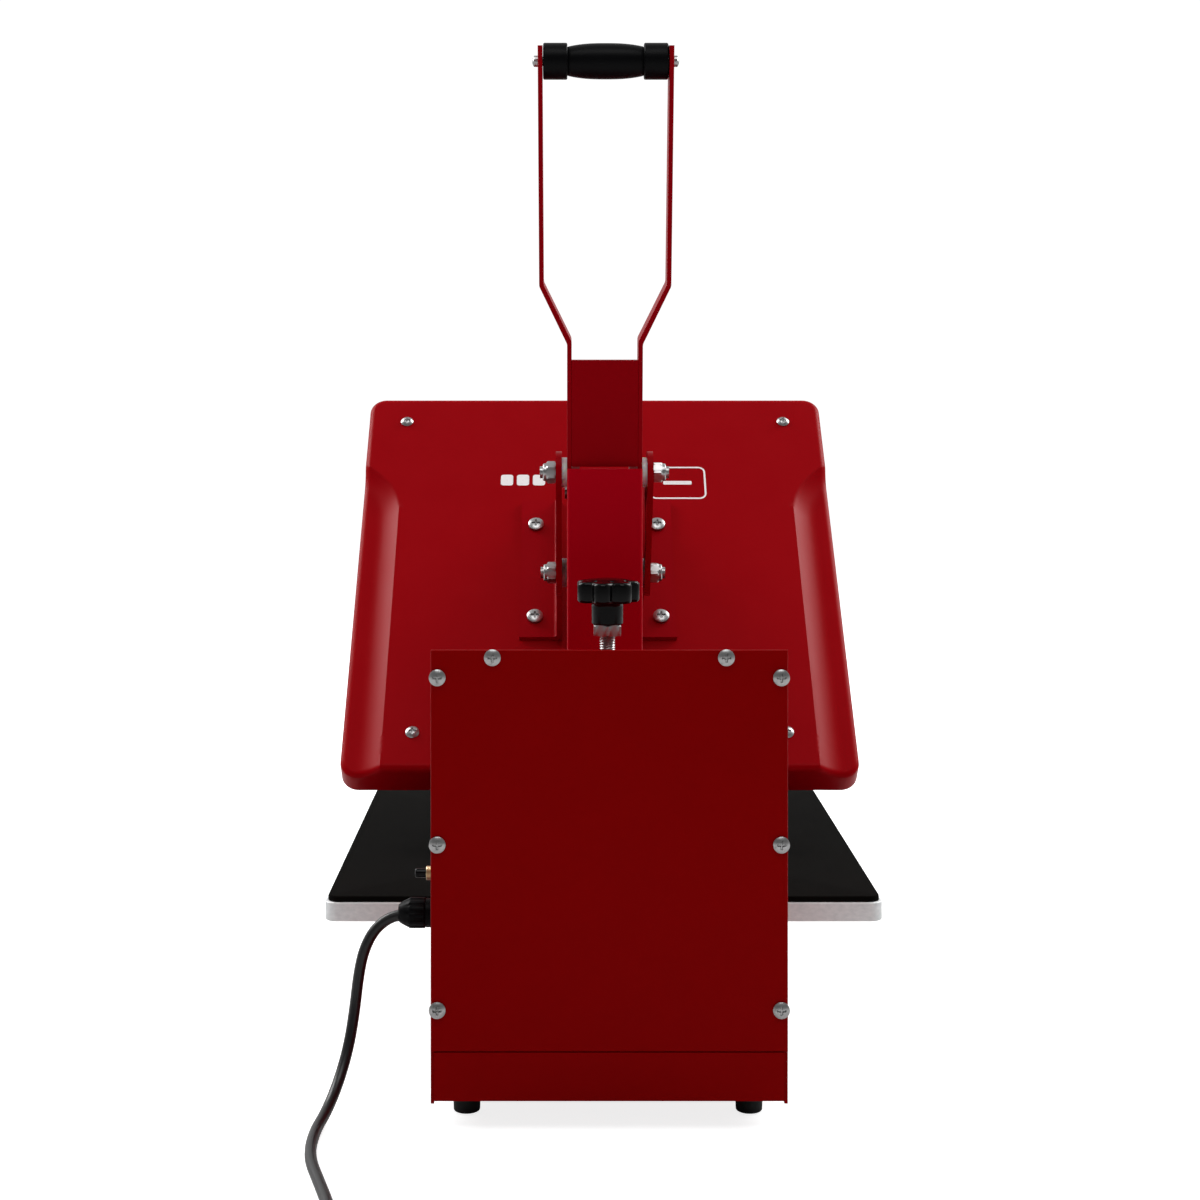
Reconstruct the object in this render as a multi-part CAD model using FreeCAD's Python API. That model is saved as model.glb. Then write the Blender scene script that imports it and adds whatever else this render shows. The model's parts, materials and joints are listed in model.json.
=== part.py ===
"""Clamshell heat press, 38 x 38 cm, standing open: one STEP file per separate piece.

Frame: +Z up, the operator stands on the -Y side, the floor is Z = 0.
Places are given as (x, f, z), where f is the distance forward of the rear cover's outer face.
"""
import FreeCAD, Part
import math
import os

from FreeCAD import Vector

# ---- driving dimensions, in millimetres and degrees ----
REAR_Y = 293.5            # the rear cover's outer face, from the middle of the footprint
BODY_WIDTH = 214.0
BODY_TOP = 288.5          # height of the rear cover's top edge
BODY_BOTTOM = 16.5        # lower edge of the side plates
PAN_BOTTOM = 18.5
PAN_TOP = 47.5
PAN_FRONT = 478.0
FRONT_F = 156.0           # outer face of the front panel
SHOULDER = (75.0, 272.0)  # f, z where the sloped control panel begins
SILL_Z = 190.0            # z where the sloped control panel ends
SHEET = 2.0
COVER_SHEET = 1.5

PLATEN = 380.0            # both platens are square
SLAB_REAR = 163.0
SLAB_BOTTOM = 83.4
SLAB_TOP = 96.3
PAD_TOP = 100.3
PRESS_GAP = 3.0           # left between the heated platen and the pad when closed

COVER_WIDTH = 392.0
COVER_LENGTH = 384.0
COVER_REAR = 159.0        # f of its rear edge when closed
COVER_TOP = 135.0         # z of its top when closed
SKIRT = 28.5
SHELF_X = 164.7           # inner edge of the lowered side shelves
SHELF_DROP = 9.0
SHELF_FRONT = 0.66        # share of the length where the shelf's edge turns outwards
SHELF_END = 0.796

HINGE = (200.0, 317.0)    # f, z of the main hinge
PIVOT = (148.0, 389.0)    # f, z of the handle's pivot when open
OPEN_ANGLE = 46.0         # turn of the upper platen from closed to open
HANDLE_LEAN = 9.1         # the open handle's lean to the rear
ANCHOR = (140.0, 196.0)   # f, z of the link's anchor pin
SHORT_ARM = 36.0          # handle pivot to toggle pin
SHORT_ARM_ANGLE = -24.0   # from straight forward, when open

CHANNEL = 50.0            # outer width of the column and of the handle's root
BAR = 3.0                 # thickness of the column's and handle's walls
YOKE_IN = 28.5            # inner faces of the yoke plates
YOKE_PLATE = 4.0
BOLT_R = 4.0              # M8 pivot bolts
RUN_FIT = 0.05            # radial clearance of a running fit
SCREW_F = 54.0            # f of the pressure screw
SCREW_R = 5.0             # M10
CORD_R = 3.5
GLAND = (60.0, 116.0)     # f, z of the cable gland
BREAKER = (60.0, 141.0)   # f, z of the reset breaker

COIL_CENTRE = (109.5, -212.0)
COIL_RADII = (29.5, 43.5)
COIL_HEIGHT = 21.0
PLUG_F = COIL_CENTRE[1] - 24.0
PLUG_Z = COIL_HEIGHT + 11.5
PLUG_SPAN = (COIL_CENTRE[0] - 38.0, COIL_CENTRE[0] - 4.0)
RELIEF_END = COIL_CENTRE[0] + 22.0

M5_HOLE = 2.6             # radii of clearance holes and shanks
M6_HOLE = 3.1
M5_SHANK = 2.5
M6_SHANK = 3.0

HALF = BODY_WIDTH / 2


# ---- helpers ----
def at(x, f, z):
    """A point of the press from its place across, forward of the rear face and up."""
    return Vector(x, REAR_Y - f, z)


def block(x_span, f_span, z_span):
    """A box from its spans across, forward and up."""
    size = [max(s) - min(s) for s in (x_span, f_span, z_span)]
    corner = at(min(x_span), max(f_span), min(z_span))
    return Part.makeBox(size[0], size[1], size[2], corner)


def rod_x(radius, x_span, f, z):
    """A round bar across the press."""
    return Part.makeCylinder(radius, x_span[1] - x_span[0], at(x_span[0], f, z), Vector(1, 0, 0))


def rod_z(radius, x, f, z_span):
    """An upright round bar."""
    return Part.makeCylinder(radius, z_span[1] - z_span[0], at(x, f, z_span[0]), Vector(0, 0, 1))


def rod_f(radius, x, z, f_span):
    """A round bar that runs forward."""
    return Part.makeCylinder(radius, f_span[1] - f_span[0], at(x, f_span[0], z), Vector(0, -1, 0))


def hex_x(across_flats, x_span, f, z):
    """A six-sided prism across the press, such as a nut."""
    radius = across_flats / math.sqrt(3)
    corners = [at(x_span[0], f + radius * math.cos(math.radians(a)), z + radius * math.sin(math.radians(a)))
               for a in range(0, 361, 60)]
    return Part.Face(Part.makePolygon(corners)).extrude(Vector(x_span[1] - x_span[0], 0, 0))


def hex_z(across_flats, x, f, z_span):
    """An upright six-sided prism."""
    radius = across_flats / math.sqrt(3)
    corners = [at(x + radius * math.cos(math.radians(a)), f + radius * math.sin(math.radians(a)), z_span[0])
               for a in range(0, 361, 60)]
    return Part.Face(Part.makePolygon(corners)).extrude(Vector(0, 0, z_span[1] - z_span[0]))


def plate_x(outline, x_span):
    """A plate that stands along the press, from its outline in (f, z)."""
    corners = [at(x_span[0], f, z) for f, z in outline]
    face = Part.Face(Part.makePolygon(corners + corners[:1]))
    return face.extrude(Vector(x_span[1] - x_span[0], 0, 0))


def joined(solids):
    """One solid from pieces that touch or overlap."""
    whole = solids[0]
    for solid in solids[1:]:
        whole = whole.fuse(solid)
    return whole.removeSplitter()


def cut_all(solid, tools):
    """The solid with each tool's shape taken out."""
    for tool in tools:
        solid = solid.cut(tool)
    return solid


def group(solids):
    """Separate solids kept in one file."""
    return Part.makeCompound(solids)


def turned(shape, pivot, degrees):
    """A copy turned about an axis across the press; positive lowers the front."""
    copy = shape.copy()
    copy.rotate(at(0, pivot[0], pivot[1]), Vector(1, 0, 0), degrees)
    return copy


def opened(shape):
    """A piece of the upper platen, drawn closed, carried to its open place."""
    return turned(shape, HINGE, -OPEN_ANGLE)


def turned_point(point, pivot, degrees):
    """The (f, z) point turned about the pivot; positive lowers the front."""
    angle = math.radians(degrees)
    f = point[0] - pivot[0]
    z = point[1] - pivot[1]
    return (pivot[0] + f * math.cos(angle) + z * math.sin(angle),
            pivot[1] - f * math.sin(angle) + z * math.cos(angle))


def pan_head(x, f, z, radius, height, shank, length):
    """A round screw head on a rear face, with its shank running forward."""
    head = rod_f(radius, x, z, (f - height, f))
    body = rod_f(shank, x, z, (f, f + length))
    reach = radius * 0.55
    depth = (f - height - 1, f - height * 0.45)
    slot = block((x - reach, x + reach), depth, (z - 0.6, z + 0.6))
    cross = block((x - 0.6, x + 0.6), depth, (z - reach, z + reach))
    return cut_all(joined([head, body]), [slot, cross])


def screw_z(x, f, z, radius, height, shank, length):
    """An upright screw: a round head above z, with its shank going down."""
    return joined([rod_z(radius, x, f, (z, z + height)), rod_z(shank, x, f, (z - length, z))])


TOGGLE = (PIVOT[0] + SHORT_ARM * math.cos(math.radians(SHORT_ARM_ANGLE)),
          PIVOT[1] + SHORT_ARM * math.sin(math.radians(SHORT_ARM_ANGLE)))
PIVOT_CLOSED = turned_point(PIVOT, HINGE, OPEN_ANGLE)
PLATEN_BOTTOM = PAD_TOP + PRESS_GAP
PLATEN_THICK = 12.0


# ---- base and body ----
SIDE_SCREWS = [(x, z) for z in (73.0, 172.0, 272.0) for x in (-103.0, 103.0)]
REAR_SCREWS = SIDE_SCREWS + [(-70.0, 284.0), (70.0, 284.0)]


def base_pan():
    outer = block((-HALF + SHEET, HALF - SHEET), (0, PAN_FRONT), (PAN_BOTTOM, PAN_TOP))
    inner = block((-HALF + 2 * SHEET, HALF - 2 * SHEET), (SHEET, PAN_FRONT - SHEET), (0, PAN_TOP - SHEET))
    corners = [e for e in outer.Edges if abs(e.CenterOfMass.z - (PAN_BOTTOM + PAN_TOP) / 2) < 0.1
               and e.CenterOfMass.y < 0 and abs(e.Length - (PAN_TOP - PAN_BOTTOM)) < 0.1]
    return cut_all(outer.makeFillet(8.0, corners), [inner] + foot_holes() + frame_bolt_holes())


def body_outline(lower):
    return [(COVER_SHEET, lower), (COVER_SHEET, BODY_TOP - 1.0), (SHOULDER[0], SHOULDER[1] - SHEET),
            (FRONT_F - SHEET, SILL_Z - SHEET), (FRONT_F - SHEET, lower)]


def side_plate(side):
    sheet = plate_x(body_outline(BODY_BOTTOM), (HALF - SHEET, HALF))
    flange = block((HALF - 16, HALF - SHEET), (COVER_SHEET, COVER_SHEET + SHEET),
                   (PAN_TOP + 1, BODY_TOP - 9))
    plate = joined([sheet, flange])
    holes = [rod_f(M5_HOLE, 103.0, z, (0, 8)) for z in (73.0, 172.0, 272.0)]
    if side > 0:
        holes += [rod_x(8.0, (90, 120), GLAND[0], GLAND[1]), rod_x(4.6, (90, 120), BREAKER[0], BREAKER[1])]
    plate = cut_all(plate, holes)
    if side > 0:
        return plate
    return plate.mirror(Vector(0, 0, 0), Vector(1, 0, 0))


def rear_cover():
    sheet = block((-HALF, HALF), (0, COVER_SHEET), (PAN_TOP + 0.5, BODY_TOP))
    rim = [e for e in sheet.Edges if abs(e.CenterOfMass.y - REAR_Y) < 1e-6]
    return cut_all(sheet.makeFillet(0.9, rim), [rod_f(M5_HOLE, x, z, (-1, 4)) for x, z in REAR_SCREWS])


def rear_cover_screws():
    return group([pan_head(x, 0, z, 5.0, 2.7, M5_SHANK, 6.0) for x, z in REAR_SCREWS])


def slope_point(share):
    """A point on the sloped panel, from its top to its sill."""
    return (SHOULDER[0] + (FRONT_F - SHOULDER[0]) * share, SHOULDER[1] + (SILL_Z - SHOULDER[1]) * share)


SLOPE_LENGTH = math.hypot(FRONT_F - SHOULDER[0], SHOULDER[1] - SILL_Z)
SLOPE_ANGLE = math.degrees(math.atan2(SHOULDER[1] - SILL_Z, FRONT_F - SHOULDER[0]))


def on_slope(shape, share):
    """A piece drawn level about the origin's f and z, laid on the sloped panel."""
    f, z = slope_point(share)
    copy = shape.copy()
    copy.rotate(at(0, 0, 0), Vector(1, 0, 0), SLOPE_ANGLE)
    copy.translate(Vector(0, -f, z))
    return copy


DISPLAY_X = 62.0
SWITCH_X = -64.0
KEY_XS = (44.0, 62.0, 80.0)
KEY_SHARE = 0.74
DISPLAY_SHARE = 0.34
SWITCH_SHARE = 0.5
DISPLAY_TO_KEYS = (KEY_SHARE - DISPLAY_SHARE) * SLOPE_LENGTH
ROCKER_Z = -2.0           # the rocker's axle, below the panel's face
ROCKER_AXLE_R = 1.5


def control_panel():
    """The body's bent top: a gentle shoulder, then the sloped panel round the column."""
    outer = [(COVER_SHEET + 0.3, BODY_TOP - 0.5), (SHOULDER[0], SHOULDER[1]), (FRONT_F, SILL_Z)]
    inner = [(FRONT_F - 2.0, SILL_Z - 1.5), (SHOULDER[0] - 0.3, SHOULDER[1] - COVER_SHEET),
             (COVER_SHEET + 0.3, BODY_TOP - 2.2)]
    sheet = plate_x(outer + inner, (-HALF + SHEET + 0.2, HALF - SHEET - 0.2))
    flange = block((-HALF + 21, HALF - 21), (COVER_SHEET + 0.3, COVER_SHEET + 1.8),
                   (BODY_TOP - 18, BODY_TOP - 1.5))
    sheet = joined([sheet, flange])
    slot = block((-29, 29), (108, 170), (170, 260))
    screws = [rod_f(M5_HOLE, x, z, (0, 8)) for x, z in REAR_SCREWS]
    rod_hole = rod_z(8.0, 0, SCREW_F, (260, 290))
    window = on_slope(block((DISPLAY_X - 27, DISPLAY_X + 27), (-15, 15), (-10, 10)), DISPLAY_SHARE)
    switch = on_slope(block((SWITCH_X - 14, SWITCH_X + 14), (-11, 11), (-10, 10)), SWITCH_SHARE)
    keys = [on_slope(Part.makeCylinder(5.5, 20, at(x, 0, -10)), KEY_SHARE) for x in KEY_XS]
    return cut_all(sheet, [slot, rod_hole, window, switch] + keys + screws)


def front_panel():
    sheet = block((-HALF + SHEET + 0.2, HALF - SHEET - 0.2), (FRONT_F - COVER_SHEET, FRONT_F),
                  (PAN_TOP, SILL_Z - 2.5))
    return cut_all(sheet, [block((-29, 29), (140, 170), (172, 200))])


def display_window():
    pane = block((DISPLAY_X - 26.6, DISPLAY_X + 26.6), (-14.6, 14.6), (-2.5, 0.6))
    return on_slope(pane, DISPLAY_SHARE)


def display_board():
    board = block((DISPLAY_X - 34, DISPLAY_X + 34), (-22, 46), (-12.6, -11.0))
    module = block((DISPLAY_X - 24, DISPLAY_X + 24), (-12, 12), (-11.0, -3.0))
    switches = [block((x - 3, x + 3), (DISPLAY_TO_KEYS - 3, DISPLAY_TO_KEYS + 3), (-11.0, -8.0))
                for x in KEY_XS]
    return on_slope(joined([board, module] + switches), DISPLAY_SHARE)


def key(x):
    cap = Part.makeCylinder(5.2, 7.0, at(x, 0, -4.5))
    return on_slope(cap, KEY_SHARE)


def power_switch_body():
    outer = block((SWITCH_X - 13.6, SWITCH_X + 13.6), (-10.6, 10.6), (-22, 0))
    flange = block((SWITCH_X - 16, SWITCH_X + 16), (-13, 13), (0, 2.0))
    well = block((SWITCH_X - 11.5, SWITCH_X + 11.5), (-9, 9), (-9, 5))
    sockets = rod_x(ROCKER_AXLE_R + RUN_FIT, (SWITCH_X - 13, SWITCH_X + 13), 0, ROCKER_Z)
    return on_slope(cut_all(joined([outer, flange]), [well, sockets]), SWITCH_SHARE)


def power_rocker():
    """A rocker with two faces that meet at its middle, tipped to its off position."""
    outline = [(-7.6, 4.4), (0, 2.4), (7.6, 2.4), (7.6, -1.0), (2.2, -5.0), (-2.2, -5.0), (-7.6, -1.0)]
    body = plate_x(outline, (SWITCH_X - 11.1, SWITCH_X + 11.1))
    axle = rod_x(ROCKER_AXLE_R, (SWITCH_X - 12.6, SWITCH_X + 12.6), 0, ROCKER_Z)
    return on_slope(joined([body, axle]), SWITCH_SHARE)


# ---- feet ----
FEET = [(x, f) for x in (-87.0, 87.0) for f in (38.0, 446.0)]


def foot_holes():
    return [rod_z(M5_HOLE, x, f, (PAN_TOP - 5, PAN_TOP + 5)) for x, f in FEET]


def feet():
    solids = []
    for x, f in FEET:
        pad = Part.makeCone(8.25, 9.5, PAN_TOP - SHEET, at(x, f, 0), Vector(0, 0, 1))
        solids.append(pad.cut(rod_z(2.55, x, f, (4, PAN_TOP))))
    return group(solids)


def foot_screws():
    return group([screw_z(x, f, PAN_TOP, 4.6, 2.6, M5_SHANK, 34.0) for x, f in FEET])


# ---- column and pressure screw ----
COLUMN_REAR = 128.0
COLUMN_TOP = 392.0
COLUMN_BOLTS = [(x, f) for x in (-38.0, 38.0) for f in (112.0, 144.0)]
PEDESTAL_BOLTS = [(x, f) for x in (-82.0, 82.0) for f in (293.0, 413.0)]


def frame_bolt_holes():
    return [rod_z(M6_HOLE, x, f, (PAN_TOP - 5, PAN_TOP + 5)) for x, f in COLUMN_BOLTS + PEDESTAL_BOLTS]


def lug(point, radius, x_span):
    return rod_x(radius, x_span, point[0], point[1])


def column():
    """A channel with its web to the rear; its walls reach forward to carry the main hinge."""
    half = CHANNEL / 2
    outline = [(COLUMN_REAR, PAN_TOP), (152, PAN_TOP), (152, 200), (187, 303), (214, 310), (208, 331),
               (196, 332), (COLUMN_REAR + 3.5, 374), (COLUMN_REAR, 374)]
    flanges = []
    for side in (-1, 1):
        span = sorted((side * (half - BAR), side * half))
        wall = joined([plate_x(outline, span), lug(HINGE, 15.0, span)])
        flanges.append(wall.cut(rod_x(BOLT_R + RUN_FIT, (-40, 40), HINGE[0], HINGE[1])))
    web = block((-half, half), (COLUMN_REAR, COLUMN_REAR + BAR), (PAN_TOP, COLUMN_TOP))
    feet_plates = [block(sorted((s * (half - 1), s * 50.0)), (100, 152), (PAN_TOP, PAN_TOP + 4))
                   for s in (-1, 1)]
    bridge = block((-half + 1, half - 1), (COLUMN_REAR, 152), (PAN_TOP, PAN_TOP + 4))
    upright = joined([web] + flanges + feet_plates + [bridge])
    edges = [e for e in upright.Edges
             if e.Length > 250 and abs(e.CenterOfMass.y - (REAR_Y - COLUMN_REAR)) < 0.01]
    window = block((-17, 17), (COLUMN_REAR - 5, COLUMN_REAR + 5), (ANCHOR[1] - 26, ANCHOR[1] + 27))
    holes = [rod_z(M6_HOLE, x, f, (PAN_TOP - 5, PAN_TOP + 9)) for x, f in COLUMN_BOLTS]
    return cut_all(upright.makeFillet(2.2, edges), [window] + holes)


def frame_bolts():
    spots = [(x, f, PAN_TOP + 4) for x, f in COLUMN_BOLTS + PEDESTAL_BOLTS]
    solids = []
    for x, f, z in spots:
        head = hex_z(10.0, x, f, (z, z + 4))
        nut = hex_z(10.0, x, f, (PAN_TOP - SHEET - 5, PAN_TOP - SHEET))
        solids.append(joined([head, nut, rod_z(M6_SHANK, x, f, (PAN_TOP - SHEET - 7, z))]))
    return group(solids)


BRIDGE_Z = (224.0, 232.0)


def pressure_bridge():
    """A bracket on the column's web that the pressure screw turns in."""
    shelf = block((-22, 22), (36, COLUMN_REAR), BRIDGE_Z)
    low, high = BRIDGE_Z
    ribs = [plate_x([(76, low), (COLUMN_REAR, low), (COLUMN_REAR, low - 24)], sorted((s * 18.5, s * 22.0)))
            for s in (-1, 1)]
    return cut_all(joined([shelf] + ribs), [rod_z(SCREW_R + RUN_FIT, 0, SCREW_F, (low - 1, high + 1))])


def pressure_screw():
    """The threaded rod, with the two collars that hold it in its bridge."""
    rod = rod_z(SCREW_R, 0, SCREW_F, (158, 300))
    collars = [rod_z(9.0, 0, SCREW_F, (BRIDGE_Z[1] + 0.1, BRIDGE_Z[1] + 7)),
               rod_z(9.0, 0, SCREW_F, (BRIDGE_Z[0] - 7, BRIDGE_Z[0] - 0.1))]
    return joined([rod] + collars)


KNOB_Z = (298.0, 312.0, 326.5)


def knob():
    """A star knob: a round hub, and a lobed head with a low dome."""
    hub = rod_z(10.0, 0, SCREW_F, (KNOB_Z[0], KNOB_Z[1]))
    head = rod_z(20.0, 0, SCREW_F, (KNOB_Z[1], KNOB_Z[2] - 2.0))
    dome = Part.makeCone(19.0, 8.0, 2.0, at(0, SCREW_F, KNOB_Z[2] - 2.0), Vector(0, 0, 1))
    lobes = []
    for i in range(7):
        a = math.radians(i * 360 / 7)
        lobes.append(rod_z(5.5, 22.8 * math.cos(a), SCREW_F + 22.8 * math.sin(a),
                           (KNOB_Z[1] - 1, KNOB_Z[2] + 1)))
    whole = cut_all(joined([hub, head, dome]), lobes)
    return whole.cut(rod_z(SCREW_R, 0, SCREW_F, (KNOB_Z[0] - 1, 300)))


def jam_nut():
    nut = hex_z(17.0, 0, SCREW_F, (KNOB_Z[0] - 7.0, KNOB_Z[0]))
    return nut.cut(rod_z(SCREW_R, 0, SCREW_F, (280, 300)))


def screw_carriage():
    """The nut block that the pressure screw drives, with the arm that carries the anchor pin."""
    nut = block((-16, 16), (SCREW_F - 16, SCREW_F + 16), (ANCHOR[1] - 13, ANCHOR[1] + 13))
    arm = block((-9, 9), (SCREW_F + 14, ANCHOR[0]), (ANCHOR[1] - 11, ANCHOR[1] + 11))
    eye = rod_x(11.0, (-9, 9), ANCHOR[0], ANCHOR[1])
    holes = [rod_z(SCREW_R + RUN_FIT, 0, SCREW_F, (170, 230)), rod_x(5.0, (-20, 20), ANCHOR[0], ANCHOR[1])]
    return cut_all(joined([nut, arm, eye]), holes)


def anchor_pin():
    return rod_x(5.0, (-18.5, 18.5), ANCHOR[0], ANCHOR[1])


# ---- lower platen ----
def rounded_slab(x_half, f_span, z_span, radius):
    slab = block((-x_half, x_half), f_span, z_span)
    upright = [e for e in slab.Edges if abs(e.Length - (z_span[1] - z_span[0])) < 1e-6
               and abs(abs(e.CenterOfMass.x) - x_half) < 1e-6]
    return slab.makeFillet(radius, upright)


def lower_platen():
    slab = rounded_slab(PLATEN / 2, (SLAB_REAR, SLAB_REAR + PLATEN), (SLAB_BOTTOM, SLAB_TOP), 9.0)
    holes = [rod_z(M5_HOLE, x, f, (SLAB_BOTTOM - 1, SLAB_BOTTOM + 8)) for x, f in PLATEN_SCREWS]
    return cut_all(slab, holes)


PLATEN_SCREWS = [(x, f) for x in (-45.0, 45.0) for f in (313.0, 393.0)]


def silicone_pad():
    edge = 2.0
    f_span = (SLAB_REAR + edge, SLAB_REAR + PLATEN - edge)
    return rounded_slab(PLATEN / 2 - edge, f_span, (SLAB_TOP, PAD_TOP), 8.0)


PEDESTAL_SPAN = (273.0, 433.0)


def platen_pedestal():
    """A folded hat bracket between the base and the lower platen."""
    outer = block((-70, 70), PEDESTAL_SPAN, (PAN_TOP, SLAB_BOTTOM))
    hollow = block((-66, 66), (260, 446), (PAN_TOP - 1, SLAB_BOTTOM - 4))
    flanges = [block(sorted((s * 68.0, s * 96.0)), PEDESTAL_SPAN, (PAN_TOP, PAN_TOP + 4)) for s in (-1, 1)]
    holes = [rod_z(M6_HOLE, x, f, (PAN_TOP - 1, PAN_TOP + 9)) for x, f in PEDESTAL_BOLTS]
    holes += [rod_z(M5_HOLE, x, f, (SLAB_BOTTOM - 6, SLAB_BOTTOM + 1)) for x, f in PLATEN_SCREWS]
    return cut_all(joined([outer.cut(hollow)] + flanges), holes)


def platen_screws():
    z = SLAB_BOTTOM - 4
    return group([joined([rod_z(4.5, x, f, (z - 3, z)), rod_z(M5_SHANK, x, f, (z, z + 10))])
                  for x, f in PLATEN_SCREWS])


# ---- electrics ----
def heat_sink():
    base = block((-98, -40), (20, 26), (70, 150))
    fins = [block((x, x + 2), (26, 46), (70, 150)) for x in range(-98, -41, 8)]
    return joined([base] + fins)


def solid_state_relay():
    base = block((-92, -47), (15, 20), (80, 138))
    case = block((-91, -48), (6, 15), (82, 136))
    return joined([base, case])


def terminal_block():
    body = block((40, 88), (70, 88), (PAN_TOP, PAN_TOP + 18))
    wells = [rod_z(3.2, x, 79, (PAN_TOP + 10, PAN_TOP + 20)) for x in (46, 56, 66, 76)]
    return cut_all(body, wells)


GLAND_FACE = HALF


def ribbed_x(radius, x_span, f, z, ribs, groove):
    """A round nut with shallow grooves along it."""
    solid = rod_x(radius, x_span, f, z)
    tools = []
    for i in range(ribs):
        a = 2 * math.pi * i / ribs
        reach = radius + groove * 0.45
        tools.append(rod_x(groove, (x_span[0] - 1, x_span[1] + 1),
                           f + reach * math.cos(a), z + reach * math.sin(a)))
    return cut_all(solid, tools)


def gland_body():
    flange = rod_x(9.7, (GLAND_FACE, GLAND_FACE + 7.0), *GLAND)
    thread = rod_x(7.95, (GLAND_FACE - 10, GLAND_FACE + 1), *GLAND)
    return joined([flange, thread]).cut(rod_x(CORD_R, (80, 140), *GLAND))


def gland_nut():
    nut = ribbed_x(9.6, (GLAND_FACE + 7.0, GLAND_FACE + 17.0), GLAND[0], GLAND[1], 12, 1.0)
    nose = Part.makeCone(9.0, 5.2, 7.0, at(GLAND_FACE + 17.0, *GLAND), Vector(1, 0, 0))
    return joined([nut, nose]).cut(rod_x(CORD_R, (80, 140), *GLAND))


def gland_locknut():
    nut = hex_x(20.0, (GLAND_FACE - SHEET - 5, GLAND_FACE - SHEET), *GLAND)
    return nut.cut(rod_x(7.95, (80, 140), *GLAND))


def breaker_body():
    case = block((HALF - 34, HALF - SHEET), (BREAKER[0] - 8, BREAKER[0] + 8),
                 (BREAKER[1] - 6, BREAKER[1] + 18))
    bush = rod_x(4.5, (HALF - SHEET, HALF + 6.5), *BREAKER)
    return cut_all(joined([case, bush]), [rod_x(3.1, (HALF - 12, HALF + 10), *BREAKER)])


def breaker_nut():
    nut = hex_x(10.4, (HALF, HALF + 3.0), *BREAKER)
    return nut.cut(rod_x(4.5, (90, 140), *BREAKER))


def reset_button():
    return rod_x(3.0, (HALF - 8, HALF + 13.5), *BREAKER)


# ---- cord: straight runs joined by tangent arcs ----
CORD_POINTS = [
    (112.0, 60.0, 116.0), (130.5, 60.0, 116.0), (144.5, 60.0, 108.0), (152.5, 59.0, 94.0),
    (156.0, 58.0, 77.0), (158.0, 56.0, 57.0), (161.0, 50.0, 36.0), (166.0, 38.0, 17.5),
    (171.5, 18.0, 5.5), (175.5, -9.0, 3.5), (174.0, -48.0, 3.5), (163.5, -86.0, 3.5),
    (152.5, -126.0, 3.5), (149.5, -169.0, 3.5), (149.5, -212.0, 3.5),
]


def cord_path(points):
    """The cord's centre line, and its tightest radius."""
    edges = []
    radii = []
    corners = [at(*p) for p in points]
    last = corners[0]
    for before, corner, after in zip(corners, corners[1:], corners[2:]):
        into = (corner - before).normalize()
        out = (after - corner).normalize()
        reach = 0.45 * min((corner - before).Length, (after - corner).Length)
        turn = into.getAngle(out)
        if turn < 1e-3:
            continue
        radius = reach / math.tan(turn / 2)
        start = corner - into * reach
        end = corner + out * reach
        bisector = (out - into).normalize()
        centre = corner + bisector * (radius / math.cos(turn / 2))
        middle = centre + (corner - centre).normalize() * radius
        edges.append(Part.LineSegment(last, start).toShape())
        edges.append(Part.Arc(start, middle, end).toShape())
        radii.append(radius)
        last = end
    edges.append(Part.LineSegment(last, corners[-1]).toShape())
    return Part.Wire(edges), radii


def coil_solid():
    centre = at(COIL_CENTRE[0], COIL_CENTRE[1], 0)
    outer = Part.makeCylinder(COIL_RADII[1], COIL_HEIGHT, centre)
    solid = outer.cut(Part.makeCylinder(COIL_RADII[0], COIL_HEIGHT, centre))
    rims = [e for e in solid.Edges if isinstance(e.Curve, Part.Circle)]
    return solid.makeFillet(3.0, rims)


def power_cord():
    wire, radii = cord_path(CORD_POINTS)
    start = at(*CORD_POINTS[0])
    direction = (at(*CORD_POINTS[1]) - start).normalize()
    section = Part.Wire(Part.Circle(start, direction, CORD_R).toShape())
    tube = wire.makePipeShell([section], True, False)
    print("cord length", round(wire.Length, 1), "volume ratio",
          round(tube.Volume / (math.pi * CORD_R ** 2 * wire.Length), 4),
          "radii", [round(r) for r in radii])
    return tube.cut(coil_solid())


def plug_body():
    """A moulded three-pin plug with a tapered strain relief, lying across the coil."""
    length = PLUG_SPAN[1] - PLUG_SPAN[0]
    body = block(PLUG_SPAN, (PLUG_F - 13, PLUG_F + 13), (PLUG_Z - 11.5, PLUG_Z + 11.5))
    edges = [e for e in body.Edges if abs(e.Length - length) < 1e-6]
    relief = Part.makeCone(7.0, 4.6, RELIEF_END - PLUG_SPAN[1], at(PLUG_SPAN[1], PLUG_F, PLUG_Z),
                           Vector(1, 0, 0))
    return joined([body.makeFillet(5.0, edges), relief])


def plug_pins():
    """Two flat blades and a round earth pin."""
    face = PLUG_SPAN[0]
    blades = [block((face - 17, face), (PLUG_F + s * 6.35 - 0.75, PLUG_F + s * 6.35 + 0.75),
                    (PLUG_Z - 6.2, PLUG_Z + 0.2)) for s in (-1, 1)]
    return group(blades + [rod_x(2.4, (face - 20, face), PLUG_F, PLUG_Z + 6.0)])


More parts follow.
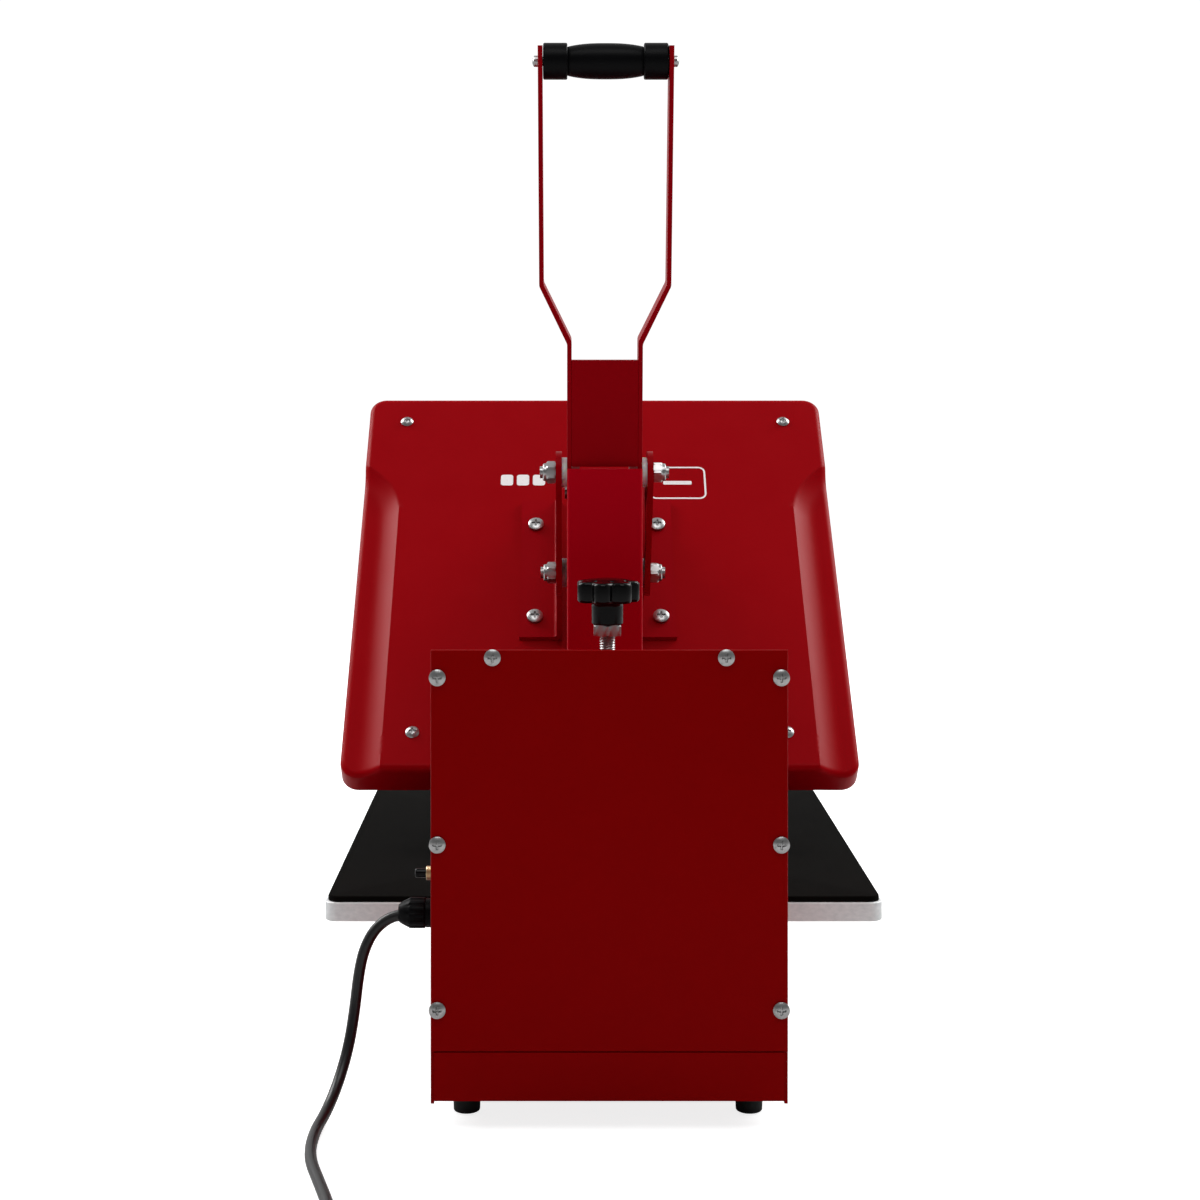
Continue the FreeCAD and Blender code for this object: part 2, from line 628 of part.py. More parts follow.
# ---- upper platen, drawn closed ----
def shelf_cutter(grow):
    """The space above one lowered side shelf; grow moves its walls away from the cover's skin."""
    rear = COVER_REAR - 5
    front = COVER_REAR + COVER_LENGTH * SHELF_FRONT
    end = COVER_REAR + COVER_LENGTH * SHELF_END
    edge = SHELF_X + grow
    outer = COVER_WIDTH / 2 + 5
    low = COVER_TOP - SHELF_DROP - grow
    bend = (edge + 10.0, (front + end) / 2 + 6.0)
    start = at(edge, rear, low)
    corners = [start, at(edge, front, low), at(bend[0], bend[1] - grow, low), at(outer, end + 3 - grow, low),
               at(outer, rear, low)]
    edges = [Part.LineSegment(corners[0], corners[1]).toShape(),
             Part.Arc(corners[1], corners[2], corners[3]).toShape(),
             Part.LineSegment(corners[3], corners[4]).toShape(),
             Part.LineSegment(corners[4], corners[0]).toShape()]
    return Part.Face(Part.Wire(edges)).extrude(Vector(0, 0, 30))


def cover_form(inset, drop):
    """The cover's solid form: a rounded block with a lowered shelf along each side."""
    half = COVER_WIDTH / 2 - inset
    f_span = (COVER_REAR + inset, COVER_REAR + COVER_LENGTH - inset)
    form = block((-half, half), f_span, (COVER_TOP - SKIRT - drop, COVER_TOP - inset))
    height = SKIRT + drop - inset
    upright = [e for e in form.Edges if abs(e.Length - height) < 1e-6]
    form = form.makeFillet(14.0 - inset, upright)
    rim = [e for e in form.Edges if abs(e.CenterOfMass.z - (COVER_TOP - inset)) < 1e-6]
    form = form.makeFillet(5.0 - inset, rim)
    cutter = shelf_cutter(inset)
    return cut_all(form, [cutter, cutter.mirror(Vector(0, 0, 0), Vector(1, 0, 0))])


COVER_SCREWS = [(x, COVER_REAR + COVER_LENGTH * t)
                for x, t in ((-163, 0.926), (163, 0.926), (-142, 0.086), (142, 0.086))]
BRACKET_SCREWS = [(x, COVER_REAR + COVER_LENGTH * t) for x in (-50, 50) for t in (0.363, 0.611)]


def platen_cover():
    shell = cover_form(0.0, 0.0).cut(cover_form(COVER_SHEET, 5.0))
    holes = [rod_z(M5_HOLE, x, f, (COVER_TOP - 20, COVER_TOP + 1)) for x, f in COVER_SCREWS]
    holes += [rod_z(M6_HOLE, x, f, (COVER_TOP - 20, COVER_TOP + 1)) for x, f in BRACKET_SCREWS]
    return opened(cut_all(shell, holes))


def domed_screw(x, f, z, radius, height, shank, length):
    dome = Part.makeSphere((radius ** 2 + height ** 2) / (2 * height), at(x, f, z + height
                           - (radius ** 2 + height ** 2) / (2 * height)))
    cap = dome.common(rod_z(radius, x, f, (z, z + height + 1)))
    return joined([cap, rod_z(shank, x, f, (z - length, z))])


def platen_cover_screws():
    length = COVER_TOP - PLATEN_BOTTOM - PLATEN_THICK - 0.5
    return opened(group([domed_screw(x, f, COVER_TOP, 5.3, 2.8, M5_SHANK, length) for x, f in COVER_SCREWS]))


def bracket_screws():
    top = COVER_TOP + YOKE_PLATE
    return opened(group([screw_z(x, f, top, 6.3, 4.0, M6_SHANK, top - PLATEN_BOTTOM - PLATEN_THICK + 5)
                         for x, f in BRACKET_SCREWS]))


def heating_platen():
    """The cast aluminium hot plate, with a rounded lower edge at the rear."""
    rear = COVER_REAR + 5.0
    top = PLATEN_BOTTOM + PLATEN_THICK
    slab = rounded_slab(PLATEN / 2 - 1, (rear, rear + PLATEN - 5.0), (PLATEN_BOTTOM, top), 9.0)
    low = [e for e in slab.Edges if abs(e.CenterOfMass.z - PLATEN_BOTTOM) < 1e-6]
    slab = slab.makeFillet(4.0, low)
    holes = [rod_z(3.0, x, f, (top - 5, top + 1)) for x, f in BRACKET_SCREWS]
    return opened(cut_all(slab, holes))


HEATER_R = 3.2
HEATER_XS = (-150.0, -90.0, -30.0, 30.0, 90.0, 150.0)


def heater_element():
    """A tubular element that runs to and fro over the hot plate."""
    z = PLATEN_BOTTOM + PLATEN_THICK + HEATER_R
    near = COVER_REAR + 60.0
    far = COVER_REAR + COVER_LENGTH - 60.0
    pieces = [rod_f(HEATER_R, x, z, (near, far)) for x in HEATER_XS]
    for i, (a, b) in enumerate(zip(HEATER_XS, HEATER_XS[1:])):
        at_front = i % 2 == 0
        centre = at((a + b) / 2, far if at_front else near, z)
        turn = Part.makeTorus((b - a) / 2, HEATER_R, centre, Vector(0, 0, 1))
        keep = block((a - 10, b + 10), (far, far + 60) if at_front else (near - 60, near), (z - 10, z + 10))
        pieces.append(turn.common(keep))
    return opened(joined(pieces))


def insulation_blanket():
    """A thin fibre blanket between the element and the cover."""
    z = PLATEN_BOTTOM + PLATEN_THICK + 2 * HEATER_R + 0.4
    sheet = rounded_slab(157, (COVER_REAR + 20, COVER_REAR + COVER_LENGTH - 20), (z, z + 4.0), 6.0)
    holes = [rod_z(3.6, x, f, (z - 1, z + 9)) for x, f in BRACKET_SCREWS]
    holes += [rod_z(3.6, x, f, (z - 1, z + 9)) for x, f in COVER_SCREWS]
    holes.append(block((-14, 14), (COVER_REAR + 300, COVER_REAR + 330), (z - 1, z + 9)))
    return opened(cut_all(sheet, holes))


def thermal_cutout():
    z = PLATEN_BOTTOM + PLATEN_THICK
    centre = COVER_REAR + 315
    ears = block((-12, 12), (centre - 4, centre + 4), (z, z + 1.5))
    return opened(joined([rod_z(8.0, 0, centre, (z, z + 9)), ears]))


def yoke_plate(side):
    """One side of the bracket: it rises from its foot on the cover to the two pivots."""
    outline = [(HINGE[0] - 15.5, HINGE[1] + 4), (HINGE[0] - 13, HINGE[1] - 9), (HINGE[0], HINGE[1] - 16),
               (238, 262), (279, COVER_TOP), (421, COVER_TOP), (421, COVER_TOP + 20), (330, 236), (242, 376),
               (PIVOT_CLOSED[0] + 14, PIVOT_CLOSED[1] + 4), (PIVOT_CLOSED[0], PIVOT_CLOSED[1] + 14),
               (PIVOT_CLOSED[0] - 13, PIVOT_CLOSED[1] + 4)]
    span = (YOKE_IN, YOKE_IN + YOKE_PLATE)
    web = joined([plate_x(outline, span), lug(HINGE, 16.0, span), lug(PIVOT_CLOSED, 14.0, span)])
    foot = block((YOKE_IN, 62.0), (279, 421), (COVER_TOP, COVER_TOP + YOKE_PLATE))
    plate = joined([web, foot])
    inside = [e for e in plate.Edges if e.Length > 100
              and abs(e.CenterOfMass.x - YOKE_IN - YOKE_PLATE) < 0.01
              and abs(e.CenterOfMass.z - COVER_TOP - YOKE_PLATE) < 0.01]
    plate = plate.makeFillet(3.0, inside)
    holes = [rod_x(BOLT_R + RUN_FIT, (20, 40), *HINGE), rod_x(BOLT_R + RUN_FIT, (20, 40), *PIVOT_CLOSED)]
    holes += [rod_z(M6_HOLE, x, f, (COVER_TOP - 1, COVER_TOP + 9)) for x, f in BRACKET_SCREWS if x > 0]
    plate = cut_all(plate, holes)
    if side < 0:
        plate = plate.mirror(Vector(0, 0, 0), Vector(1, 0, 0))
    return opened(plate)


PIVOTS = (HINGE, PIVOT)
NUT_IN = YOKE_IN + YOKE_PLATE + 0.1


def pivot_bolts():
    """Four bolts with their heads inside the channel and their threads outwards."""
    solids = []
    for point in PIVOTS:
        for side in (-1, 1):
            head = hex_x(13.0, sorted((side * (CHANNEL / 2 - BAR - 0.3), side * 16.6)), *point)
            shank = rod_x(BOLT_R, sorted((side * 17.0, side * (NUT_IN + 10.6))), *point)
            solids.append(joined([head, shank]))
    return group(solids)


def pivot_nuts():
    """Self-locking nuts: a six-sided part, then a round collar."""
    solids = []
    for point in PIVOTS:
        for side in (-1, 1):
            hexagon = hex_x(13.0, sorted((side * NUT_IN, side * (NUT_IN + 6.2))), *point)
            collar = rod_x(5.9, sorted((side * NUT_IN, side * (NUT_IN + 8.6))), *point)
            solids.append(joined([hexagon, collar]).cut(rod_x(BOLT_R, (-60, 60), *point)))
    return group(solids)


def pivot_washers():
    """Nylon washers that space the yoke from the column and the handle."""
    solids = []
    for point in PIVOTS:
        for side in (-1, 1):
            span = sorted((side * (CHANNEL / 2 + 0.05), side * (YOKE_IN - 0.05)))
            solids.append(rod_x(10.0, span, *point).cut(rod_x(BOLT_R + RUN_FIT, (-60, 60), *point)))
    return group(solids)


# ---- handle, drawn upright over its pivot, then leant back ----
BAR_HALF_WIDTH = 11.0
GRIP_S = 272.3
BAR_END = 282.5
BEND_LOW = 89.0
BEND_HIGH = 127.0
GRIP_OUTER = 44.1


def leant(shape):
    return turned(shape, PIVOT, -HANDLE_LEAN)


def arm_z(s):
    """The height of a place along the upright arm, s above the pivot."""
    return PIVOT[1] + s


def handle_bar(side):
    inner = CHANNEL / 2 - BAR
    outer = CHANNEL / 2
    wide = GRIP_OUTER - BAR
    path = [(inner, 0), (outer, 0), (outer, BEND_LOW - 1), (wide + BAR - 0.7, BEND_HIGH - 0.6),
            (wide + BAR, BAR_END), (wide, BAR_END), (wide - 0.7, BEND_HIGH + 0.6), (inner, BEND_LOW + 1)]
    corners = [at(x, PIVOT[0] - BAR_HALF_WIDTH, arm_z(s)) for x, s in path]
    strip = Part.Face(Part.makePolygon(corners + corners[:1])).extrude(Vector(0, -2 * BAR_HALF_WIDTH, 0))
    bends = [e for e in strip.Edges if abs(e.Length - 2 * BAR_HALF_WIDTH) < 1e-6
             and BEND_LOW - 5 < e.CenterOfMass.z - PIVOT[1] < BEND_HIGH + 5]
    strip = strip.makeFillet(6.0, bends)
    long_edges = [e for e in strip.Edges
                  if abs(abs(e.CenterOfMass.y - REAR_Y + PIVOT[0]) - BAR_HALF_WIDTH) < 1e-6]
    bar = leant(strip.makeFillet(0.6, long_edges))
    arm = math.radians(SHORT_ARM_ANGLE)
    side_f = -math.sin(arm) * 10.5
    side_z = math.cos(arm) * 10.5
    strap = plate_x([(PIVOT[0] + side_f, PIVOT[1] + side_z), (TOGGLE[0] + side_f, TOGGLE[1] + side_z),
                     (TOGGLE[0] - side_f, TOGGLE[1] - side_z), (PIVOT[0] - side_f, PIVOT[1] - side_z)],
                    (inner, outer))
    bar = joined([bar, strap, lug(PIVOT, 12.0, (inner, outer)), lug(TOGGLE, 10.5, (inner, outer))])
    holes = [rod_x(BOLT_R + RUN_FIT, (0, 60), *PIVOT), rod_x(5.0, (0, 60), *TOGGLE),
             leant(rod_x(3.0, (0, 60), PIVOT[0], arm_z(GRIP_S)))]
    bar = cut_all(bar, holes)
    if side < 0:
        bar = bar.mirror(Vector(0, 0, 0), Vector(1, 0, 0))
    return bar


def handle_bars():
    return group([handle_bar(-1), handle_bar(1)])


def handle_web():
    inner = CHANNEL / 2 - BAR
    return leant(block((-inner, inner), (PIVOT[0] - BAR_HALF_WIDTH, PIVOT[0] - BAR_HALF_WIDTH + BAR),
                       (arm_z(6.0), arm_z(77.6))))


def toggle_pin():
    """The pin between the handle and the link, with its two spacer tubes."""
    pin = rod_x(5.0, (-CHANNEL / 2 - 1.5, CHANNEL / 2 + 1.5), *TOGGLE)
    spacers = [rod_x(8.0, sorted((s * 15.2, s * 21.9)), *TOGGLE) for s in (-1, 1)]
    return joined([pin] + spacers)


def grip_rod():
    """The rod through the grip, with a domed cap screw at each end."""
    z = arm_z(GRIP_S)
    rod = rod_x(3.0, (-GRIP_OUTER - 0.5, GRIP_OUTER + 0.5), PIVOT[0], z)
    caps = []
    for side in (-1, 1):
        ball = Part.makeSphere(6.0, at(side * (GRIP_OUTER - 2.3), PIVOT[0], z))
        span = sorted((side * GRIP_OUTER, side * (GRIP_OUTER + 4)))
        caps.append(ball.common(rod_x(3.7, span, PIVOT[0], z)))
    return leant(joined([rod] + caps))


def grip():
    """A barrel between two round collars, turning on its rod."""
    z = arm_z(GRIP_S)
    half = GRIP_OUTER - BAR - 0.4
    profile = [(0, half), (11.2, half), (11.9, half - 0.8), (11.9, half - 15.0), (11.2, half - 15.8),
               (9.8, half - 16.4), (10.9, half - 24.0), (11.7, 6.0)]
    ring = [at(x, PIVOT[0], z + r) for r, x in profile]
    ring += [at(-x, PIVOT[0], z + r) for r, x in reversed(profile)]
    solid = Part.Face(Part.makePolygon(ring + ring[:1])).revolve(at(0, PIVOT[0], z), Vector(1, 0, 0), 360)
    return leant(solid.cut(rod_x(3.0 + RUN_FIT, (-60, 60), PIVOT[0], z)))


# ---- toggle link ----
LINK_X = (10.0, 14.5)
LINK_SLOT = 8.2           # half the width of the clearance slot at the anchor


def toggle_link():
    """Two straight bars from the toggle pin to the anchor pin."""
    df = TOGGLE[0] - ANCHOR[0]
    dz = TOGGLE[1] - ANCHOR[1]
    length = math.hypot(df, dz)
    side_f = dz / length
    side_z = -df / length
    solids = []
    for side in (-1, 1):
        span = sorted((side * LINK_X[0], side * LINK_X[1]))
        width = 8.0
        outline = [(ANCHOR[0] + side_f * width, ANCHOR[1] + side_z * width),
                   (TOGGLE[0] + side_f * width, TOGGLE[1] + side_z * width),
                   (TOGGLE[0] - side_f * width, TOGGLE[1] - side_z * width),
                   (ANCHOR[0] - side_f * width, ANCHOR[1] - side_z * width)]
        bar = joined([plate_x(outline, span), lug(TOGGLE, 10.0, span), lug(ANCHOR, 13.0, span),
                      lug((ANCHOR[0], ANCHOR[1] - 5), 13.0, span),
                      lug((ANCHOR[0], ANCHOR[1] + 5), 13.0, span)])
        slot = joined([rod_x(LINK_SLOT, (-60, 60), ANCHOR[0], ANCHOR[1] + d) for d in (-4, 0, 4)]
                      + [block((-60, 60), (ANCHOR[0] - LINK_SLOT, ANCHOR[0] + LINK_SLOT),
                               (ANCHOR[1] - 4, ANCHOR[1] + 4))])
        solids.append(cut_all(bar, [slot, rod_x(5.0 + RUN_FIT, (-60, 60), *TOGGLE)]))
    return group(solids)


NODES = {
    "base_pan": base_pan,
    "side_plate_left": lambda: side_plate(-1),
    "side_plate_right": lambda: side_plate(1),
    "rear_cover": rear_cover,
    "rear_cover_screws": rear_cover_screws,
    "control_panel": control_panel,
    "front_panel": front_panel,
    "display_window": display_window,
    "display_board": display_board,
    "key_down": lambda: key(KEY_XS[0]),
    "key_set": lambda: key(KEY_XS[1]),
    "key_up": lambda: key(KEY_XS[2]),
    "power_switch_body": power_switch_body,
    "power_rocker": power_rocker,
    "feet": feet,
    "foot_screws": foot_screws,
    "column": column,
    "frame_bolts": frame_bolts,
    "pressure_bridge": pressure_bridge,
    "pressure_screw": pressure_screw,
    "knob": knob,
    "jam_nut": jam_nut,
    "screw_carriage": screw_carriage,
    "anchor_pin": anchor_pin,
    "lower_platen": lower_platen,
    "silicone_pad": silicone_pad,
    "platen_pedestal": platen_pedestal,
    "platen_screws": platen_screws,
    "heat_sink": heat_sink,
    "solid_state_relay": solid_state_relay,
    "terminal_block": terminal_block,
    "gland_body": gland_body,
    "gland_nut": gland_nut,
    "gland_locknut": gland_locknut,
    "breaker_body": breaker_body,
    "breaker_nut": breaker_nut,
    "reset_button": reset_button,
    "power_cord": power_cord,
    "cord_coil": coil_solid,
    "plug_body": plug_body,
    "plug_pins": plug_pins,
    "platen_cover": platen_cover,
    "platen_cover_screws": platen_cover_screws,
    "heating_platen": heating_platen,
    "heater_element": heater_element,
    "insulation_blanket": insulation_blanket,
    "thermal_cutout": thermal_cutout,
    "yoke_plate_left": lambda: yoke_plate(-1),
    "yoke_plate_right": lambda: yoke_plate(1),
    "bracket_screws": bracket_screws,
    "pivot_bolts": pivot_bolts,
    "pivot_nuts": pivot_nuts,
    "pivot_washers": pivot_washers,
    "handle_bars": handle_bars,
    "handle_web": handle_web,
    "toggle_pin": toggle_pin,
    "grip_rod": grip_rod,
    "grip": grip,
    "toggle_link": toggle_link,
}

os.makedirs("parts", exist_ok=True)
for name, make in NODES.items():
    shape = make()
    shape.exportStep(os.path.join("parts", name + ".step"))
    print(name, "solids", len(shape.Solids), "valid", shape.isValid(), "volume", round(shape.Volume))
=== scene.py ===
# %% [markdown]
# # A clamshell heat press, finished in Blender
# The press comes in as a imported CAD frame, in metres, with +Z up and the operator on the -Y side.
# This lesson keeps every CAD part where it is. It adds the finer pieces, such as the pressed cover,
# the star knob and the cord, and gives each surface its own finish.

# %% Load the frame
import json
import math

import bmesh
import bpy
import numpy as np
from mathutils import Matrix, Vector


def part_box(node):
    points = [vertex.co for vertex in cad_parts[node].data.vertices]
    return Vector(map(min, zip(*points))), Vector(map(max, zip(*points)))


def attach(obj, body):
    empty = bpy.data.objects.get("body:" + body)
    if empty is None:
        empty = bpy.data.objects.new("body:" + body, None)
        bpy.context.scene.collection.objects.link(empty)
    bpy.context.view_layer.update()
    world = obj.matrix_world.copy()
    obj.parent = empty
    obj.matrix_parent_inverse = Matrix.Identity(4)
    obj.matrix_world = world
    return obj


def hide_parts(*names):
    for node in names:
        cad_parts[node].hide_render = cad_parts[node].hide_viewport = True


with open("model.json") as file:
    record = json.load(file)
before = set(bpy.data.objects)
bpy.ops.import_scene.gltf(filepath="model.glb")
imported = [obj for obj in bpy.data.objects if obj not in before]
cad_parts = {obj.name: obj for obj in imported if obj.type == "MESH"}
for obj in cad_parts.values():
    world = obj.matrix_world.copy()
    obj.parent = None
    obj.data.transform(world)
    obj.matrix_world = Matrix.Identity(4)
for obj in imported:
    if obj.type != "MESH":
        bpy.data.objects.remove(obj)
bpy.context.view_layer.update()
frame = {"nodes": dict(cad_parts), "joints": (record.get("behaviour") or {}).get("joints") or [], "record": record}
nodes = frame["nodes"]
joints = {joint["name"]: joint for joint in frame["joints"]}
MM = 0.001

# %% [markdown]
# ## Where things are
# Places are taken from the CAD boxes and joints, so nothing has to be fitted by eye.
# The upper platen is easiest to think about closed and level, as it was drawn. A helper turns
# points about the main hinge to where the open platen holds them.

# %% Places and turning
HINGE = np.array(joints["platen_hinge"]["pos_m"])
OPEN_ANGLE = math.radians(46.0)
REAR_Y = 0.2935


def turned(points, pivot, angle):
    """Points turned about an axis along X: y and z go through the usual plane rotation."""
    moved = np.array(points, float)
    y = moved[..., 1] - pivot[1]
    z = moved[..., 2] - pivot[2]
    moved[..., 1] = pivot[1] + y * math.cos(angle) - z * math.sin(angle)
    moved[..., 2] = pivot[2] + y * math.sin(angle) + z * math.cos(angle)
    return moved


def opened(points):
    """Points of the closed upper platen carried to its open place."""
    return turned(points, HINGE, -OPEN_ANGLE)


def middle(name):
    """The centre of a CAD node's box."""
    low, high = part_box(name)
    return np.array((low + high) / 2)


# %% [markdown]
# ## Surfaces from grids
# Most pieces here are a grid of points worked out with numpy. A mesh could also be modelled by
# hand, but a formula says exactly what the shape is and keeps its size. Doubled points at seams
# and poles are merged at the end, and the faces are turned outwards.

# %% Grid helpers
def grid_faces(rows, columns, wrap):
    """Quads between neighbouring rows and columns; wrap joins the last column to the first."""
    across = columns if wrap else columns - 1
    r, c = np.meshgrid(np.arange(rows - 1), np.arange(across), indexing="ij")
    following = (c + 1) % columns
    quads = np.stack([r * columns + c, r * columns + following,
                      (r + 1) * columns + following, (r + 1) * columns + c], -1)
    return quads.reshape(-1, 4)


def make_piece(name, parts, sharp=40.0):
    """One object from (points, faces) parts, with doubles merged and normals outwards."""
    points = []
    faces = []
    start = 0
    for part_points, part_faces in parts:
        flat = np.asarray(part_points, float).reshape(-1, 3)
        points.append(flat)
        faces.append(part_faces + start)
        start += len(flat)
    mesh = bpy.data.meshes.new(name)
    mesh.from_pydata(np.concatenate(points).tolist(), [], np.concatenate(faces).tolist())
    shell = bmesh.new()
    shell.from_mesh(mesh)
    bmesh.ops.remove_doubles(shell, verts=shell.verts, dist=1e-6)
    bmesh.ops.dissolve_degenerate(shell, edges=shell.edges, dist=1e-7)
    bmesh.ops.recalc_face_normals(shell, faces=shell.faces)
    shell.to_mesh(mesh)
    shell.free()
    mesh.shade_smooth()
    mesh.set_sharp_from_angle(angle=math.radians(sharp))
    piece = bpy.data.objects.new(name, mesh)
    bpy.context.scene.collection.objects.link(piece)
    return piece


AXES = {"x": ((0, 1, 0), (0, 0, 1), (1, 0, 0)), "-x": ((0, 0, 1), (0, 1, 0), (-1, 0, 0)),
        "y": ((0, 0, 1), (1, 0, 0), (0, 1, 0)), "z": ((1, 0, 0), (0, 1, 0), (0, 0, 1))}


def spun(profile, centre, axis="z", around=48, shape=None):
    """A turned surface: each (radius, height) of the profile, in mm, swept round the axis.

    shape(radius, height, angle) may change the radius, as lobes, flats and threads do.
    """
    profile = np.array(profile, float)
    angle = np.linspace(0, 2 * math.pi, around, endpoint=False)
    radius = np.repeat(profile[:, :1], around, 1)
    height = np.repeat(profile[:, 1:], around, 1)
    theta = np.repeat(angle[None], len(profile), 0)
    if shape is not None:
        radius = shape(radius, height, theta)
    u, v, w = (np.array(a, float) for a in AXES[axis])
    points = (np.array(centre) + (radius * np.cos(theta) * MM)[..., None] * u
              + (radius * np.sin(theta) * MM)[..., None] * v + (height * MM)[..., None] * w)
    return points, grid_faces(len(profile), around, True)


def arc(centre_r, centre_h, radius, start, end, steps=6):
    """Points of a profile along a circle's arc, from start to end in degrees."""
    a = np.radians(np.linspace(start, end, steps))
    return [(centre_r + radius * math.cos(t), centre_h + radius * math.sin(t)) for t in a]


def finish(piece, body, slot, material, *replaced):
    """Gives a piece its material and body, and hides the CAD nodes it stands for. The slot is not used."""
    piece.data.materials.clear()
    piece.data.materials.append(material)
    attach(piece, body)
    if replaced:
        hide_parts(*replaced)
    print(piece.name, "faces", len(getattr(piece.data, "polygons", [])))
    return piece


# %% [markdown]
# ## The camera
# The view is from behind the press, level, at about the height of the hinge. A longer lens keeps
# the sides nearly parallel. The lens is shifted down rather than tilted, so uprights stay upright.

# %% Camera
CAMERA_BACK = 1.221       # behind the rear cover
CAMERA_SIDE = 0.0277
CAMERA_HEIGHT = 0.4436
camera_data = bpy.data.cameras.new("camera")
camera_data.lens = 61.2
camera_data.sensor_width = 36.0
camera_data.shift_x = 0.0308
camera_data.shift_y = -0.1742
camera = bpy.data.objects.new("camera", camera_data)
camera.location = (CAMERA_SIDE, REAR_Y + CAMERA_BACK, CAMERA_HEIGHT)
camera.rotation_euler = (math.radians(90), 0, math.radians(180))
bpy.context.scene.collection.objects.link(camera)
bpy.context.scene.camera = camera

# %% [markdown]
# ## Floor and light
# A pale floor under a white sky gives the clean look of a studio. Both are brighter to the camera
# than to the press. The floor glows for camera rays only, so it reads white and its shadows look
# faint. The sky is plain white for camera rays, but it lights the press mostly from the front, so
# that the rear stays deep red. Soft panels add the long highlights on the cover's edges.

# %% Stage
FLOOR_SIZE = 60.0
floor_mesh = bpy.data.meshes.new("floor")
half_floor = FLOOR_SIZE / 2
floor_corners = [(x * half_floor, y * half_floor, -0.0003) for x, y in ((-1, -1), (1, -1), (1, 1), (-1, 1))]
floor_mesh.from_pydata(floor_corners, [], [(0, 1, 2, 3)])
floor = bpy.data.objects.new("floor", floor_mesh)
bpy.context.scene.collection.objects.link(floor)
floor_paint = bpy.data.materials.new("floor_paint")
floor_paint.use_nodes = True
floor_tree = floor_paint.node_tree
floor_shader = floor_tree.nodes["Principled BSDF"]
floor_shader.inputs["Base Color"].default_value = (0.7, 0.7, 0.7, 1)
floor_shader.inputs["Roughness"].default_value = 0.9
floor_shader.inputs["Specular IOR Level"].default_value = 0.0
floor_seen = floor_tree.nodes.new("ShaderNodeLightPath")
floor_tree.links.new(floor_seen.outputs["Is Camera Ray"], floor_shader.inputs["Emission Strength"])
floor_shader.inputs["Emission Color"].default_value = (0.82, 0.82, 0.82, 1)
floor_mesh.materials.append(floor_paint)

world = bpy.data.worlds.new("studio")
bpy.context.scene.world = world
world.use_nodes = True
sky = world.node_tree
sky.nodes.clear()
sky_out = sky.nodes.new("ShaderNodeOutputWorld")
sky_mix = sky.nodes.new("ShaderNodeMixShader")
seen = sky.nodes.new("ShaderNodeBackground")
seen.inputs["Color"].default_value = (1, 1, 1, 1)
seen.inputs["Strength"].default_value = 1.05
lighting = sky.nodes.new("ShaderNodeBackground")
path = sky.nodes.new("ShaderNodeLightPath")
direction = sky.nodes.new("ShaderNodeTexCoord")
split = sky.nodes.new("ShaderNodeSeparateXYZ")
ramp = sky.nodes.new("ShaderNodeMapRange")
ramp.inputs["From Min"].default_value = -0.7
ramp.inputs["From Max"].default_value = 0.75
ramp.inputs["To Min"].default_value = 0.8
ramp.inputs["To Max"].default_value = 0.16
sky.links.new(direction.outputs["Generated"], split.inputs[0])
sky.links.new(split.outputs["Y"], ramp.inputs["Value"])
sky.links.new(ramp.outputs["Result"], lighting.inputs["Strength"])
sky.links.new(path.outputs["Is Camera Ray"], sky_mix.inputs[0])
sky.links.new(lighting.outputs[0], sky_mix.inputs[1])
sky.links.new(seen.outputs[0], sky_mix.inputs[2])
sky.links.new(sky_mix.outputs[0], sky_out.inputs["Surface"])
bpy.context.scene.view_settings.view_transform = "Standard"


def soft_panel(name, place, aim, size, power):
    """A large rectangular lamp at a place, turned to face a point."""
    data = bpy.data.lights.new(name, "AREA")
    data.shape = "RECTANGLE"
    data.size, data.size_y = size
    data.energy = power
    lamp = bpy.data.objects.new(name, data)
    lamp.location = place
    away = np.array(place) - np.array(aim)
    lamp.rotation_euler = (math.atan2(math.hypot(away[0], away[1]), away[2]), 0,
                           math.atan2(away[1], away[0]) + math.pi / 2)
    bpy.context.scene.collection.objects.link(lamp)


soft_panel("key_panel", (0.0, 1.6, 3.0), (0, 0, 0.3), (2.0, 1.4), 26)
soft_panel("left_panel", (1.75, -0.85, 1.8), (0, 0, 0.4), (1.1, 1.6), 42)
soft_panel("right_panel", (-1.75, -0.85, 1.8), (0, 0, 0.4), (1.1, 1.6), 42)

# %% [markdown]
# ## Finishes
# A finish is a small node graph: a colour that varies a little, a roughness that varies a little
# more, and a fine bump. Noise on Object coordinates has a true size, because the press is in
# metres: a scale of 1000 gives grains of about a millimetre.

